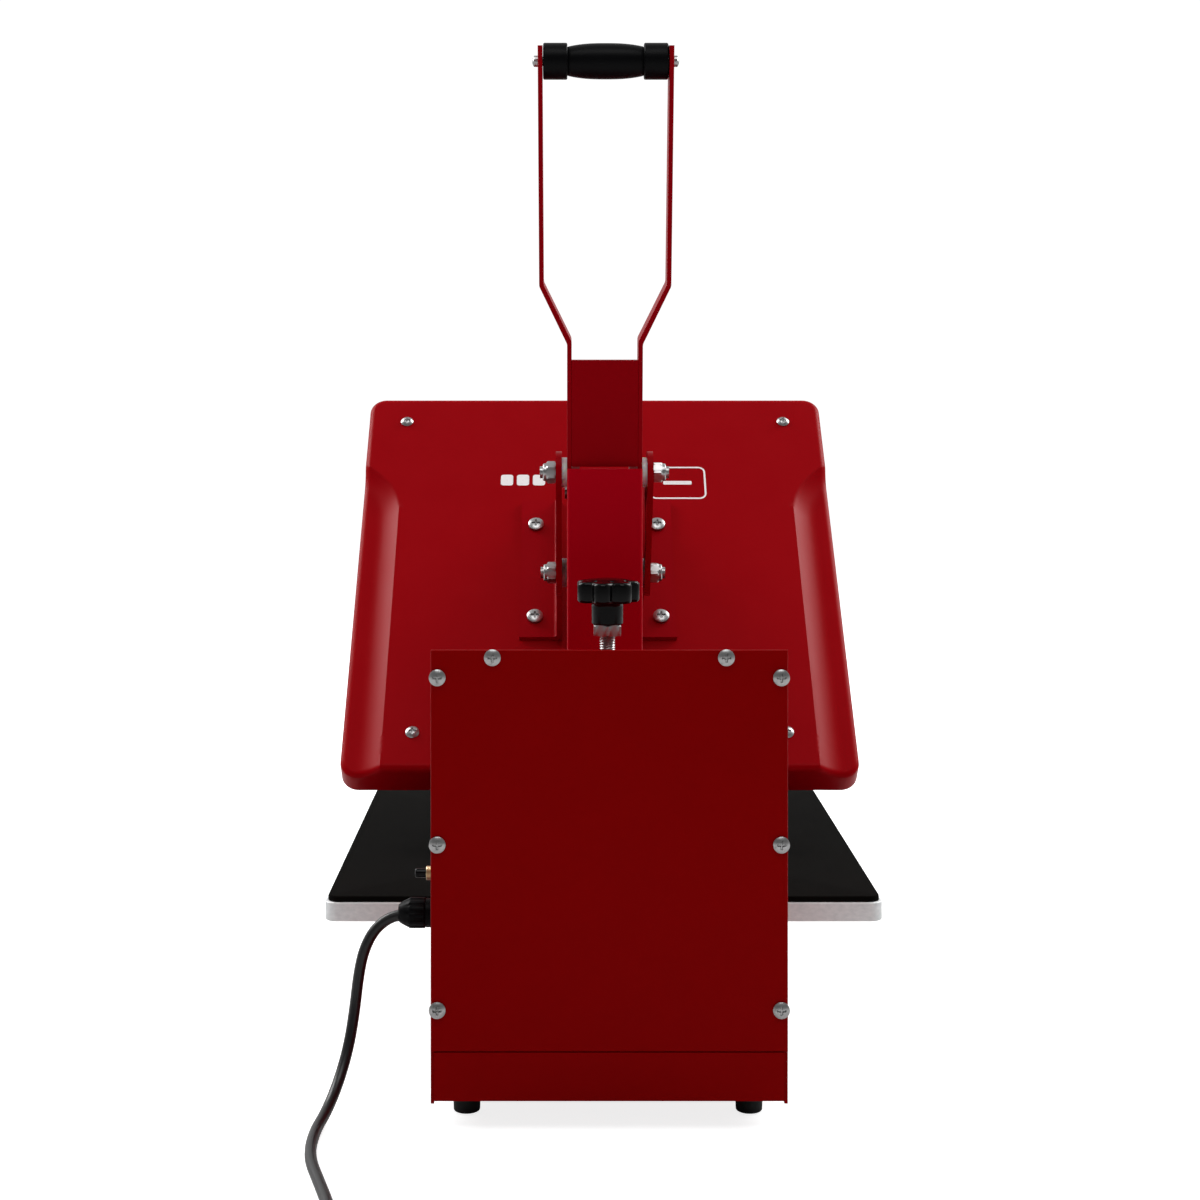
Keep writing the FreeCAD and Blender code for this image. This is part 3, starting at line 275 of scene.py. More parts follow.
# %% Material helper
def finish_nodes(name, colour, rough, metal=0.0, grain=900.0, bump=0.03, vary=0.08, rough_vary=0.06,
                 coat=0.0, stretch=(1, 1, 1), depth=0.0002, specular=0.5, wear=30.0, gleam=(1, 1, 1)):
    """A material whose colour and roughness drift with broad noise, over a fine grain bump."""
    material = bpy.data.materials.new(name)
    material.use_nodes = True
    tree = material.node_tree
    shader = tree.nodes["Principled BSDF"]
    shader.inputs["Metallic"].default_value = metal
    shader.inputs["Specular IOR Level"].default_value = specular
    shader.inputs["Specular Tint"].default_value = (*gleam, 1)
    shader.inputs["Coat Weight"].default_value = coat
    shader.inputs["Coat Roughness"].default_value = 0.08
    coordinates = tree.nodes.new("ShaderNodeTexCoord")
    mapping = tree.nodes.new("ShaderNodeMapping")
    mapping.inputs["Scale"].default_value = stretch
    tree.links.new(coordinates.outputs["Object"], mapping.inputs["Vector"])
    broad = tree.nodes.new("ShaderNodeTexNoise")
    broad.inputs["Scale"].default_value = wear
    broad.inputs["Detail"].default_value = 5.0
    tree.links.new(mapping.outputs[0], broad.inputs["Vector"])
    fine = tree.nodes.new("ShaderNodeTexNoise")
    fine.inputs["Scale"].default_value = grain
    fine.inputs["Detail"].default_value = 3.0
    tree.links.new(mapping.outputs[0], fine.inputs["Vector"])
    tint = tree.nodes.new("ShaderNodeMix")
    tint.data_type = "RGBA"
    tint.inputs["A"].default_value = (*[c * (1 - vary) for c in colour], 1)
    tint.inputs["B"].default_value = (*[min(1, c * (1 + vary)) for c in colour], 1)
    tree.links.new(broad.outputs["Fac"], tint.inputs["Factor"])
    tree.links.new(tint.outputs["Result"], shader.inputs["Base Color"])
    roughness = tree.nodes.new("ShaderNodeMapRange")
    roughness.inputs["To Min"].default_value = max(0.02, rough - rough_vary)
    roughness.inputs["To Max"].default_value = rough + rough_vary
    tree.links.new(broad.outputs["Fac"], roughness.inputs["Value"])
    tree.links.new(roughness.outputs["Result"], shader.inputs["Roughness"])
    relief = tree.nodes.new("ShaderNodeBump")
    relief.inputs["Strength"].default_value = bump
    relief.inputs["Distance"].default_value = depth
    tree.links.new(fine.outputs["Fac"], relief.inputs["Height"])
    tree.links.new(relief.outputs["Normal"], shader.inputs["Normal"])
    return material


# %% [markdown]
# ### The paints
# The pressed cover wears a smooth gloss enamel. The body, column, yoke and handle are powder coated,
# which leaves a faint orange-peel ripple. All stand for one crimson, but the depths are painted light and
# shade: they are tuned to look alike under these lamps, and the column is painted much the brightest.

# %% Paints
RED_GLEAM = (1.0, 0.25, 0.25)
# Painted light and shade: each red's depth below is set against the others to stand in for the light on its part.
enamel = finish_nodes("cover_enamel", (0.315, 0.0, 0.003), 0.34, grain=420, bump=0.1, vary=0.04,
                      rough_vary=0.05, depth=0.0001, specular=0.09, gleam=RED_GLEAM)
powder = finish_nodes("powder_coat", (0.26, 0.0, 0.0005), 0.42, grain=650, bump=0.2, vary=0.05,
                      rough_vary=0.06, depth=0.00012, specular=0.08, gleam=RED_GLEAM)
# Painted light: the column's red is nearly twice the body's, standing in for the light that falls on it.
column_red_painted_light = finish_nodes("column_coat_painted_light", (0.47, 0.0, 0.009), 0.36, grain=650, bump=0.2,
                            vary=0.05, rough_vary=0.05, depth=0.00012, specular=0.1, gleam=RED_GLEAM)
# Painted light: the yoke and handle plates get a lighter red than the body, standing in for light.
plate_red_painted_light = finish_nodes("plate_coat_painted_light", (0.31, 0.0, 0.004), 0.36, grain=650, bump=0.2,
                           vary=0.05, rough_vary=0.05, depth=0.00012, specular=0.08, gleam=RED_GLEAM)
print("paints", enamel.name, powder.name, column_red_painted_light.name, plate_red_painted_light.name)

# %% [markdown]
# ### Metals
# Zinc-plated screws are bright with a little cloudiness. The cast platen is a satin grey with a
# mottled grain, drawn out a little sideways. Plain steel is darker and rougher.

# %% Metals
zinc = finish_nodes("bright_zinc", (0.46, 0.46, 0.46), 0.33, metal=1, grain=1300, bump=0.03, vary=0.1,
                    depth=0.00005, wear=160)
cast = finish_nodes("cast_aluminium", (0.87, 0.91, 0.92), 0.5, metal=0.3, grain=520, bump=0.6,
                    vary=0.2, rough_vary=0.12, stretch=(0.6, 0.6, 1), wear=420)
steel = finish_nodes("plain_steel", (0.42, 0.42, 0.43), 0.4, metal=1, grain=1600, bump=0.15, vary=0.12,
                     wear=70)
brass = finish_nodes("plain_brass", (0.62, 0.47, 0.28), 0.32, metal=1, grain=1500, bump=0.1)

# %% [markdown]
# ### Plastics, rubber and fibre
# The knob and the plug are hard black mouldings, the grip is softer and more matt, and the feet
# are dull rubber. Nylon washers are milky white and let a little light in. The blanket over the
# element is loose fibre.

# %% Plastics
gloss_black = finish_nodes("gloss_black", (0.002, 0.002, 0.0022), 0.13, grain=1200, bump=0.03, vary=0.2,
                           specular=0.17)
satin_black = finish_nodes("satin_black", (0.0025, 0.0025, 0.003), 0.38, grain=1800, bump=0.2, vary=0.25,
                           specular=0.07)
rubber = finish_nodes("foot_rubber", (0.011, 0.011, 0.011), 0.62, grain=1500, bump=0.3, vary=0.3,
                      specular=0.3)
nylon = finish_nodes("nylon", (0.96, 0.96, 0.94), 0.38, grain=900, bump=0.06, vary=0.03)
nylon_shader = nylon.node_tree.nodes["Principled BSDF"]
nylon_shader.inputs["Subsurface Weight"].default_value = 0.3
nylon_shader.inputs["Subsurface Scale"].default_value = 0.004
sheath = finish_nodes("cord_sheath", (0.007, 0.007, 0.008), 0.33, grain=1400, bump=0.1, vary=0.25)
smoked = finish_nodes("smoked_window", (0.012, 0.014, 0.016), 0.09, grain=500, bump=0.01, coat=0.4)
board_green = finish_nodes("circuit_board", (0.01, 0.12, 0.05), 0.4, grain=900, bump=0.2, vary=0.3)
fibre = finish_nodes("fibre_blanket", (0.72, 0.7, 0.64), 0.9, grain=1300, bump=0.8, depth=0.0008)
white_print = finish_nodes("white_print", (0.96, 0.93, 0.93), 0.45, grain=900, bump=0.05, vary=0.03)

# %% [markdown]
# ### The silicone pad
# The pad is black silicone sheet moulded against cloth, so its skin has a fine square weave. Two
# wave textures at right angles, one along X and one along Y, give raised threads 0.8 mm apart.

# %% Silicone weave
silicone = finish_nodes("silicone_pad", (0.0042, 0.0037, 0.0032), 0.8, bump=0.6, vary=0.5, specular=0.02)
weave_tree = silicone.node_tree
weave_place = weave_tree.nodes["Texture Coordinate"]
threads = []
for direction_name in ("X", "Y"):
    wave = weave_tree.nodes.new("ShaderNodeTexWave")
    wave.bands_direction = direction_name
    wave.inputs["Scale"].default_value = 400.0
    wave.inputs["Distortion"].default_value = 0.6
    weave_tree.links.new(weave_place.outputs["Object"], wave.inputs["Vector"])
    threads.append(wave)
crossing = weave_tree.nodes.new("ShaderNodeMath")
crossing.operation = "MULTIPLY"
weave_tree.links.new(threads[0].outputs["Fac"], crossing.inputs[0])
weave_tree.links.new(threads[1].outputs["Fac"], crossing.inputs[1])
weave_tree.links.new(crossing.outputs[0], weave_tree.nodes["Bump"].inputs["Height"])

# %% [markdown]
# ## The power cord
# A mains lead of 1.8 m leaves the gland sideways, drops under its own weight and runs back over
# the floor. The rest is put away in a neat coil behind the press, with the plug lying on top.
# The line is one smooth spline. Its first points are listed, and a loop adds the turns.

# %% Cord route
# metres: across, forward of the rear cover, up
CORD_RADIUS = 0.0035
ROUTE = [
    (0.1120, 0.0600, 0.1160), (0.1305, 0.0600, 0.1160), (0.1445, 0.0600, 0.1080),
    (0.1525, 0.0590, 0.0940), (0.1560, 0.0580, 0.0770), (0.1580, 0.0560, 0.0570),
    (0.1610, 0.0500, 0.0360), (0.1660, 0.0380, 0.0175), (0.1715, 0.0180, 0.0055),
    (0.1755, -0.0090, 0.0035), (0.1740, -0.0480, 0.0035), (0.1635, -0.0860, 0.0035),
    (0.1525, -0.1260, 0.0035), (0.1495, -0.1690, 0.0035), (0.1495, -0.2120, 0.0035),
]
COIL_X, COIL_F = 0.1095, -0.2120
COIL_OUTER, COIL_INNER = 0.040, 0.033
LAYERS = (0.0035, 0.0105, 0.0175)
PLUG_F, PLUG_Z = COIL_F - 0.024, 0.0325
TURN_STEPS = 24
TURNS = [(COIL_OUTER, LAYERS[0]), (COIL_INNER, LAYERS[0]), (COIL_INNER, LAYERS[1]),
         (COIL_OUTER, LAYERS[1]), (COIL_INNER, LAYERS[2]), (COIL_OUTER, LAYERS[2])]


def eased(share):
    """A step from 0 to 1 with level ends: three times the square less twice the cube."""
    share = min(1.0, max(0.0, share))
    return share * share * (3 - 2 * share)


def coil_points():
    """Circles whose radius and height slide to the next turn's during their last quarter."""
    points = []
    for start, following in zip(TURNS, TURNS[1:]):
        for step in range(TURN_STEPS):
            slide = eased((step / TURN_STEPS - 0.75) / 0.25)
            radius = start[0] + (following[0] - start[0]) * slide
            height = start[1] + (following[1] - start[1]) * slide
            a = 2 * math.pi * step / TURN_STEPS
            points.append((COIL_X + radius * math.cos(a), COIL_F - radius * math.sin(a), height))
    return points


# %% [markdown]
# The last turn climbs on to the coil, swings out in a wide loop and comes back into the plug. The
# loop keeps a radius of about four cord diameters, because a lead this thick won't bend tighter.

# %% Cord curve
def climb_points():
    """Five sixths of a turn that rises at its end, then an arc up to the plug's height."""
    points = []
    for step in range(TURN_STEPS * 5 // 6 + 1):
        degrees = 360 * step / TURN_STEPS
        height = LAYERS[2] + 0.0071 * eased((degrees - 250) / 50)
        a = math.radians(degrees)
        points.append((COIL_X + COIL_OUTER * math.cos(a), COIL_F - COIL_OUTER * math.sin(a), height))
    for degrees in range(-60, 91, 25):
        height = 0.0248 + (PLUG_Z - 0.0248) * eased((degrees + 60) / 150)
        a = math.radians(degrees)
        points.append((COIL_X + 0.018 + 0.029 * math.cos(a), COIL_F + 0.005 - 0.029 * math.sin(a), height))
    return points + [(COIL_X + 0.011, PLUG_F, PLUG_Z)]


cord_points = ROUTE + coil_points()[1:] + climb_points()
cord_curve = bpy.data.curves.new("power_cord_line", "CURVE")
cord_curve.dimensions = "3D"
cord_curve.bevel_depth = CORD_RADIUS
cord_curve.bevel_resolution = 4
cord_curve.resolution_u = 5
cord_curve.use_fill_caps = True
spline = cord_curve.splines.new("NURBS")
spline.points.add(len(cord_points) - 1)
for point, (x, forward, up) in zip(spline.points, cord_points):
    point.co = (x, REAR_Y - forward, up, 1.0)
spline.order_u = 3
spline.use_endpoint_u = True
cord = bpy.data.objects.new("mains_cord", cord_curve)
bpy.context.scene.collection.objects.link(cord)
cord_curve.materials.append(sheath)
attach(cord, "frame")
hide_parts("power_cord", "cord_coil")
print("cord control points", len(cord_points))

# %% [markdown]
# ## The plug
# The moulded plug is a soft-edged block that narrows to a ribbed, tapered strain relief. Each
# cross-section is a superellipse, between a circle and a rectangle, strung along the X axis.

# %% Plug
def superellipse_tube(stations, f, z, around=48):
    """Each station is (x, half depth, half height, squareness n): |y/a|^n + |z/b|^n = 1."""
    angle = np.linspace(0, 2 * math.pi, around, endpoint=False)
    x, half_y, half_z, square = (column[:, None] for column in np.array(stations, float).T)
    c, s = np.cos(angle)[None], np.sin(angle)[None]
    y = REAR_Y - f + half_y * MM * np.sign(c) * np.abs(c) ** (2 / square)
    up = z + half_z * MM * np.sign(s) * np.abs(s) ** (2 / square)
    across = COIL_X + x * MM + 0 * y
    return np.stack([across, y, up], -1), grid_faces(len(stations), around, True)


relief = [(22, 0, 0, 2), (22, 4.0, 4.0, 2)]
for rib in range(9):
    x = 21.2 - 2.7 * rib
    size = 4.5 + 0.3 * rib
    relief += [(x - step, size + rise, size + rise, 2)
               for step, rise in ((0, 0), (1.4, 0.1), (1.6, -0.7), (2.4, -0.7))]
shoulder = [(-3.4, 7.2, 7.2, 2.2), (-4.6, 9.2, 8.8, 2.8), (-7, 11.6, 10.6, 3.6), (-11, 12.8, 11.4, 4.6)]
ridges = []
for ridge in range(6):
    x = -14 - 2.6 * ridge
    ridges += [(x - step, 12.7 - sink, 11.3 - sink, 5)
               for step, sink in ((0, 0), (0.5, 0.6), (1.5, 0.6), (2, 0))]
nose = [(-33, 13, 11.5, 5), (-36.8, 13, 11.5, 5), (-37.7, 12.6, 11.1, 5), (-38, 11.8, 10.3, 5),
        (-38, 0, 0, 5)]
plug = make_piece("plug", [superellipse_tube(relief + shoulder + ridges + nose, PLUG_F, PLUG_Z)], 50)
finish(plug, "frame", "black_plastic", satin_black, "plug_body")

# %% [markdown]
# ## Rounded sheets and slabs
# The cover, the slab and the pad are all rounded rectangles in plan. One helper makes a rounded
# outline, and another stacks such outlines at different insets and heights into a closed skin.

# %% Rounded outline
def outline(half_x, half_y, radius, side=40, corner=10):
    """A rounded rectangle: four quarter circles joined by straight sides, anticlockwise."""
    radius = min(radius, half_x, half_y)
    quarter = np.radians(np.linspace(0, 90, corner))
    loop = []
    centres = [(1, 1), (-1, 1), (-1, -1), (1, -1)]
    for turn, (sx, sy) in enumerate(centres):
        a = quarter + turn * math.pi / 2
        arc_points = np.stack([sx * (half_x - radius) + radius * np.cos(a),
                               sy * (half_y - radius) + radius * np.sin(a)], -1)
        nx, ny = centres[(turn + 1) % 4]
        b = (turn + 1) * math.pi / 2
        following = np.array([nx * (half_x - radius) + radius * math.cos(b),
                              ny * (half_y - radius) + radius * math.sin(b)])
        share = np.linspace(0, 1, side + 2)[1:-1, None]
        loop += [arc_points, arc_points[-1] + (following - arc_points[-1]) * share]
    return np.concatenate(loop)


def stacked(rings, half_x, half_y, radius, centre_f, side=40, corner=10):
    """Closed skin from rings of (inset, z) in mm; each inset shrinks the outline evenly."""
    rows = []
    for inset, z in rings:
        loop = outline(half_x - inset, half_y - inset, max(radius - inset, 0.2), side, corner)
        rows.append(np.column_stack([loop[:, 0] * MM, REAR_Y - centre_f * MM + loop[:, 1] * MM,
                                     np.full(len(loop), z * MM)]))
    return np.array(rows), grid_faces(len(rows), len(rows[0]), True)


def slab_rings(low, high, round_low, round_high, deepest):
    """A slab's section: flat below, a rounded lower edge, a wall, a rounded upper edge, flat above."""
    under = [(round_low - x, low + round_low + y) for x, y in arc(0, 0, round_low, 270, 360, 6)]
    over = [(round_high - x, high - round_high + y) for x, y in arc(0, 0, round_high, 0, 90, 6)]
    return [(deepest, low)] + under + over + [(deepest, high)]


# %% [markdown]
# ## Lower platen and pad
# The platen is a cast slab with its top milled flat, and its edges just broken. The pad is a
# loose sheet of silicone, a little smaller, whose moulded edge is softer.

# %% Lower platen and pad
slab_low, slab_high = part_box("lower_platen")
pad_low, pad_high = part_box("silicone_pad")


def box_slab(name, low, high, corner_radius, round_low, round_high):
    """A rounded slab that fills a CAD box."""
    half_x, half_y = (high[0] - low[0]) / 2 / MM, (high[1] - low[1]) / 2 / MM
    centre_f = (REAR_Y - (low[1] + high[1]) / 2) / MM
    rings = slab_rings(low[2] / MM, high[2] / MM, round_low, round_high, min(half_x, half_y) - 0.1)
    return make_piece(name, [stacked(rings, half_x, half_y, corner_radius, centre_f)], 50)


slab = box_slab("platen_slab", slab_low, slab_high, 9.0, 1.0, 1.0)
finish(slab, "frame", "cast_aluminium", cast, "lower_platen")
pad = box_slab("silicone_sheet", pad_low, pad_high, 8.0, 0.3, 1.0)
finish(pad, "frame", "silicone", silicone, "silicone_pad")

# %% [markdown]
# ## The pressed cover
# The red cover is one sheet, pressed over a die: a flat crown, a lowered shelf along each side
# that curves out to the edge near the front, and a rolled edge that turns down into a skirt. It is
# a stack of rounded outlines whose height is worked out from the place, so the shelf is a formula.

# %% Cover measures
COVER_X, COVER_Y = 196.0, 192.0
COVER_REAR, COVER_TOP = 159.0, 135.0
COVER_CORNER, COVER_ROLL, COVER_SKIRT, COVER_SHEET = 14.0, 5.0, 28.5, 1.5
SHELF_X, SHELF_DROP, SHELF_SLOPE = 164.7, 9.0, 20.0
SHELF_FRONT, SHELF_END = 0.66, 0.796


def shelf_drop(x, along):
    """How far the shelf lies below the crown: a parabola from its inner edge, then level."""
    past = np.clip((along - SHELF_FRONT) / (SHELF_END - SHELF_FRONT), 0, 1)
    inner = SHELF_X + (COVER_X - SHELF_X) * past ** 2.2
    share = np.clip((np.abs(x) - inner) / SHELF_SLOPE, 0, 1)
    return np.where(along < SHELF_END, SHELF_DROP * (1 - (1 - share) ** 2), 0.0)


def cover_rings():
    """(inset, height above the crown) from the ceiling's middle, round the skirt, to the crown's."""
    thin = COVER_SHEET
    inner_roll = COVER_ROLL - thin
    ceiling = [(d, -thin) for d in np.concatenate([np.linspace(191.9, 40, 10), np.linspace(36, 6, 12)])]
    inside = [(COVER_ROLL - x, -COVER_ROLL + y) for x, y in arc(0, 0, inner_roll, 90, 0, 5)]
    wall = [(thin, -16), (thin, -COVER_SKIRT + 0.4), (thin - 0.4, -COVER_SKIRT), (0.4, -COVER_SKIRT),
            (0, -COVER_SKIRT + 0.4), (0, -18), (0, -11)]
    roll = [(COVER_ROLL - x, -COVER_ROLL + y) for x, y in arc(0, 0, COVER_ROLL, 0, 90, 10)]
    crown = [(d, 0) for d in np.concatenate([np.linspace(COVER_ROLL, 31.3, 20)[1:],
                                             np.linspace(31.3, 80, 10)[1:], np.linspace(80, 191.9, 10)[1:]])]
    return ceiling + inside + wall + roll + crown


# %% Cover mesh
rings = cover_rings()
points, cover_faces = stacked([(d, 0) for d, h in rings], COVER_X, COVER_Y, COVER_CORNER,
                              COVER_REAR + COVER_Y, side=190, corner=12)
x = points[..., 0] / MM
along = ((REAR_Y - points[..., 1]) / MM - COVER_REAR) / (2 * COVER_Y)
level = np.array([h for d, h in rings])[:, None]
squeeze = 1 - shelf_drop(x, along) / COVER_SKIRT
points[..., 2] = (COVER_TOP - COVER_SKIRT + (level + COVER_SKIRT) * squeeze) * MM
cover = make_piece("pressed_cover", [(opened(points), cover_faces)], 33)
finish(cover, "upper_platen", "red_cover", enamel, "platen_cover")

# %% [markdown]
# ## Printed marks
# Such covers carry prints in white ink. Here they are plain shapes with no meaning: a row of three
# rounded tiles, and a framed bar. A print is a film, so each stands up by a tenth of a millimetre.

# %% Marks
def tile(half_x, half_y, radius, x, f):
    """A flat tile on the crown of the closed cover."""
    top = COVER_TOP + 0.12
    flat = min(half_x, half_y) - 0.05
    rows, faces = stacked([(flat, COVER_TOP + 0.01), (0, COVER_TOP + 0.01), (0, top), (flat, top)],
                          half_x, half_y, radius, f, side=6, corner=6)
    rows[..., 0] += x * MM
    return opened(rows), faces


def frame_band(half_x, half_y, radius, stroke, x, f):
    """A closed line of even width round a rounded rectangle."""
    low, top = COVER_TOP + 0.01, COVER_TOP + 0.12
    rows, faces = stacked([(0, low), (0, top), (stroke, top), (stroke, low), (0, low)],
                          half_x, half_y, radius, f, side=6, corner=6)
    rows[..., 0] += x * MM
    return opened(rows), faces


tiles = [tile(5.2, 6.0, 2.2, x, 447.0) for x in (48.0, 61.5, 75.0)]
framed_bar = [frame_band(24, 18, 6, 1.5, -68.8, 444.0), tile(12, 2.0, 1.0, -68.8, 444.0)]
marks = make_piece("plain_marks", tiles + framed_bar)
finish(marks, "upper_platen", "red_cover", white_print)

# %% [markdown]
# ## Screw heads
# Every head is a disc with a crown, and a cross sunk into it. On a polar grid the crown is a
# curve of the radius, and the cross is a mask of the two sideways distances, taken off the height.

# %% Screw helper
def screw_head(centre, axis, radius, height, rim, cross=0.5, around=96, rings=26):
    """z = rim + (height - rim)(1 - (r/R)^2.4), less a cross as deep as half the head."""
    def sunk(a, b):
        narrow = np.clip((radius * 0.11 - np.abs(a)) / (radius * 0.05) + 0.5, 0, 1)
        long = np.clip((radius * cross - np.abs(b)) / (radius * 0.08) + 0.5, 0, 1)
        return narrow * long

    angle = np.linspace(0, 2 * math.pi, around, endpoint=False)[None]
    spread = np.linspace(1, 0, rings)[:, None] * radius
    crown = rim + (height - rim) * (1 - (spread / radius) ** 2.4) + 0 * angle
    a, b = spread * np.cos(angle), spread * np.sin(angle)
    crown = crown - 0.5 * height * np.maximum(sunk(a, b), sunk(b, a))
    turned_radius = np.concatenate([np.array([[0.0], [radius * 0.97], [radius]]), spread * 0.999])
    heights = np.concatenate([np.array([[0.0], [0.0], [0.15 * rim]]) + 0 * angle, crown])
    u, v, w = (np.array(direction, float) for direction in AXES[axis])
    grid = turned_radius + 0 * angle
    points = (np.array(centre) + (grid * np.cos(angle) * MM)[..., None] * u
              + (grid * np.sin(angle) * MM)[..., None] * v + (heights * MM)[..., None] * w)
    return points, grid_faces(len(grid), around, True)


def spot(x, f, z):
    """A place given in mm across, forward and up, in metres."""
    return (x * MM, REAR_Y - f * MM, z * MM)


# %% [markdown]
# Eight pan heads hold the rear cover, two of them through its top edge. Four larger ones hold the
# bracket's feet, and four small domes hold the pressed cover. Their shanks are inside, unseen.

# %% Screws
SIDE_SCREWS = [(x, z) for z in (73.0, 172.0, 272.0) for x in (-103.0, 103.0)]
REAR_SCREWS = SIDE_SCREWS + [(-70.0, 284.0), (70.0, 284.0)]
rear_heads = make_piece("rear_screw_heads", [screw_head(spot(x, 0, z), "y", 5.0, 2.7, 1.3)
                                             for x, z in REAR_SCREWS], 35)
finish(rear_heads, "frame", "zinc", zinc, "rear_cover_screws")
BRACKET_SCREWS = [(x, COVER_REAR + 2 * COVER_Y * t) for x in (-50.0, 50.0) for t in (0.363, 0.611)]
bracket_parts = []
for x, f in BRACKET_SCREWS:
    head, head_faces = screw_head(spot(x, f, COVER_TOP + 4.0), "z", 6.3, 4.0, 2.6)
    bracket_parts.append((opened(head), head_faces))
bracket_heads = make_piece("bracket_screw_heads", bracket_parts, 35)
finish(bracket_heads, "upper_platen", "zinc", zinc, "bracket_screws")
COVER_SCREWS = [(side * x, COVER_REAR + 2 * COVER_Y * t)
                for x, t in ((163, 0.926), (142, 0.086)) for side in (-1, 1)]
dome_parts = []
for x, f in COVER_SCREWS:
    head, head_faces = screw_head(spot(x, f, COVER_TOP), "z", 5.3, 2.8, 0.6)
    dome_parts.append((opened(head), head_faces))
dome_heads = make_piece("cover_screw_heads", dome_parts, 35)
finish(dome_heads, "upper_platen", "zinc", zinc, "platen_cover_screws")

# %% [markdown]
# ## Nuts
# A nut is a turned blank with six flats milled on it. The radius is the smaller of the blank's and
# the flats' own distance, which leaves the curved chamfers at the corners by itself. The pivots
# have self-locking nuts, with a round collar that holds a nylon ring.

# %% Nut helpers
def flats(across):
    """The distance to the nearest of six flats: half the width over the cosine to its middle."""
    def cut(radius, height, theta):
        to_flat = (theta + math.pi / 6) % (math.pi / 3) - math.pi / 6
        return np.minimum(radius, across / 2 / np.cos(to_flat))
    return cut


def locking_nut(centre, axis):
    """An M8 self-locking nut: chamfered hexagon, neck and rolled collar, open for the bolt's end."""
    profile = ([(4.02, 0), (6.7, 0), (7.55, 0.6), (7.55, 5.3), (6.6, 6.2), (5.9, 6.25), (5.9, 7.6)]
               + arc(4.9, 7.6, 1.0, 0, 85, 6) + [(4.6, 8.55), (4.02, 8.1), (4.02, 0)])
    return spun(profile, centre, axis, around=72, shape=flats(13.0))


# %% Pivot nuts
HINGE_SPOT, PIVOT_SPOT = (200.0, 317.0), (148.0, 389.0)
NUT_FACE = 32.6
nuts = [locking_nut(spot(side * NUT_FACE, *place), axis)
        for place in (HINGE_SPOT, PIVOT_SPOT) for side, axis in ((1, "x"), (-1, "-x"))]
locking_nuts = make_piece("locking_nuts", nuts, 25)
finish(locking_nuts, "upper_platen", "zinc", zinc, "pivot_nuts")

# %% [markdown]
# ## The pressure screw and its knob
# The screw is an M10 rod with a real helical thread: its radius follows a triangle wave of the
# height less the turn, so one formula gives every turn. A jam nut locks the star knob, whose seven
# notches are hollows pressed into a round head, deepest halfway between the lobes.

# %% Pressure screw
SCREW_F = 54.0


def thread(radius, height, theta):
    """The radius less a triangle wave of (height / pitch - turns), on the rod's own diameter only."""
    wave = np.abs(((height / 1.5 - theta / (2 * math.pi)) % 1.0) * 2 - 1)
    return np.where(np.abs(radius - 5.0) < 0.01, radius - 0.85 * wave, radius)


rod_rows = [(0, 158), (4.2, 158)] + [(5.0, z) for z in np.arange(158.6, 216.8, 0.25)]
collar_low = [(5.2, 216.9), (8.6, 216.9), (9, 217.3), (9, 223.5), (8.6, 223.9), (4.9, 223.9)]
collar_high = [(4.9, 232.1), (8.6, 232.1), (9, 232.5), (9, 238.6), (8.6, 239), (5.2, 239.1)]
rod_rows += collar_low + collar_high + [(5.0, z) for z in np.arange(239.3, 299.6, 0.25)]
rod_rows += [(4.2, 299.8), (0, 299.8)]
rod = make_piece("pressure_screw_thread", [spun(rod_rows, spot(0, SCREW_F, 0), "z", 40, thread)], 60)
finish(rod, "pressure_knob", "zinc", zinc, "pressure_screw")
JAM_LOW, JAM_HIGH = 291, 298
JAM_BORE, JAM_FACE, JAM_BLANK = 5.05, 8.6, 9.85
jam_profile = [(JAM_BORE, JAM_LOW), (JAM_FACE, JAM_LOW), (JAM_BLANK, 291.8), (JAM_BLANK, 297.2),
               (JAM_FACE, JAM_HIGH), (JAM_BORE, JAM_HIGH), (JAM_BORE, JAM_LOW)]
jam = make_piece("jam_nut_hex", [spun(jam_profile, spot(0, SCREW_F, 0), "z", 72, flats(17.0))], 25)
finish(jam, "pressure_knob", "zinc", zinc, "jam_nut")

# %% Star knob
LOBES = 7


def star(radius, height, theta):
    """Seven notches: a bell curve of the angle from each notch's middle, only in the head."""
    off = (theta * LOBES / (2 * math.pi) + 0.5) % 1.0 - 0.5
    notch = 4.2 * np.exp(-(off / 0.23) ** 2)
    return radius - notch * np.clip((radius - 10.5) / 7.5, 0, 1)


knob_profile = ([(0, 298), (9.3, 298), (9.9, 298.7), (10.0, 309.5)] + arc(12.2, 309.6, 2.2, 180, 90, 5)
                + [(16.8, 311.9)] + arc(18.2, 313.9, 2.0, -80, 0, 6) + arc(18.0, 322.6, 2.2, 0, 80, 7)
                + [(16.6, 325.2), (14.6, 325.1), (12.0, 325.9), (8.0, 326.3), (4, 326.5), (0, 326.5)])
knob = make_piece("star_knob", [spun(knob_profile, spot(0, SCREW_F, 0), "z", 168, star)], 35)
finish(knob, "pressure_knob", "black_plastic", gloss_black, "knob")

# %% [markdown]
# ## The grip
# A swelling barrel between two straight collars, all moulded over one tube. The barrel's radius
# falls away from its middle as a power of the distance, slow at first and quicker at the ends.

# %% Grip
grip_middle = middle("grip")


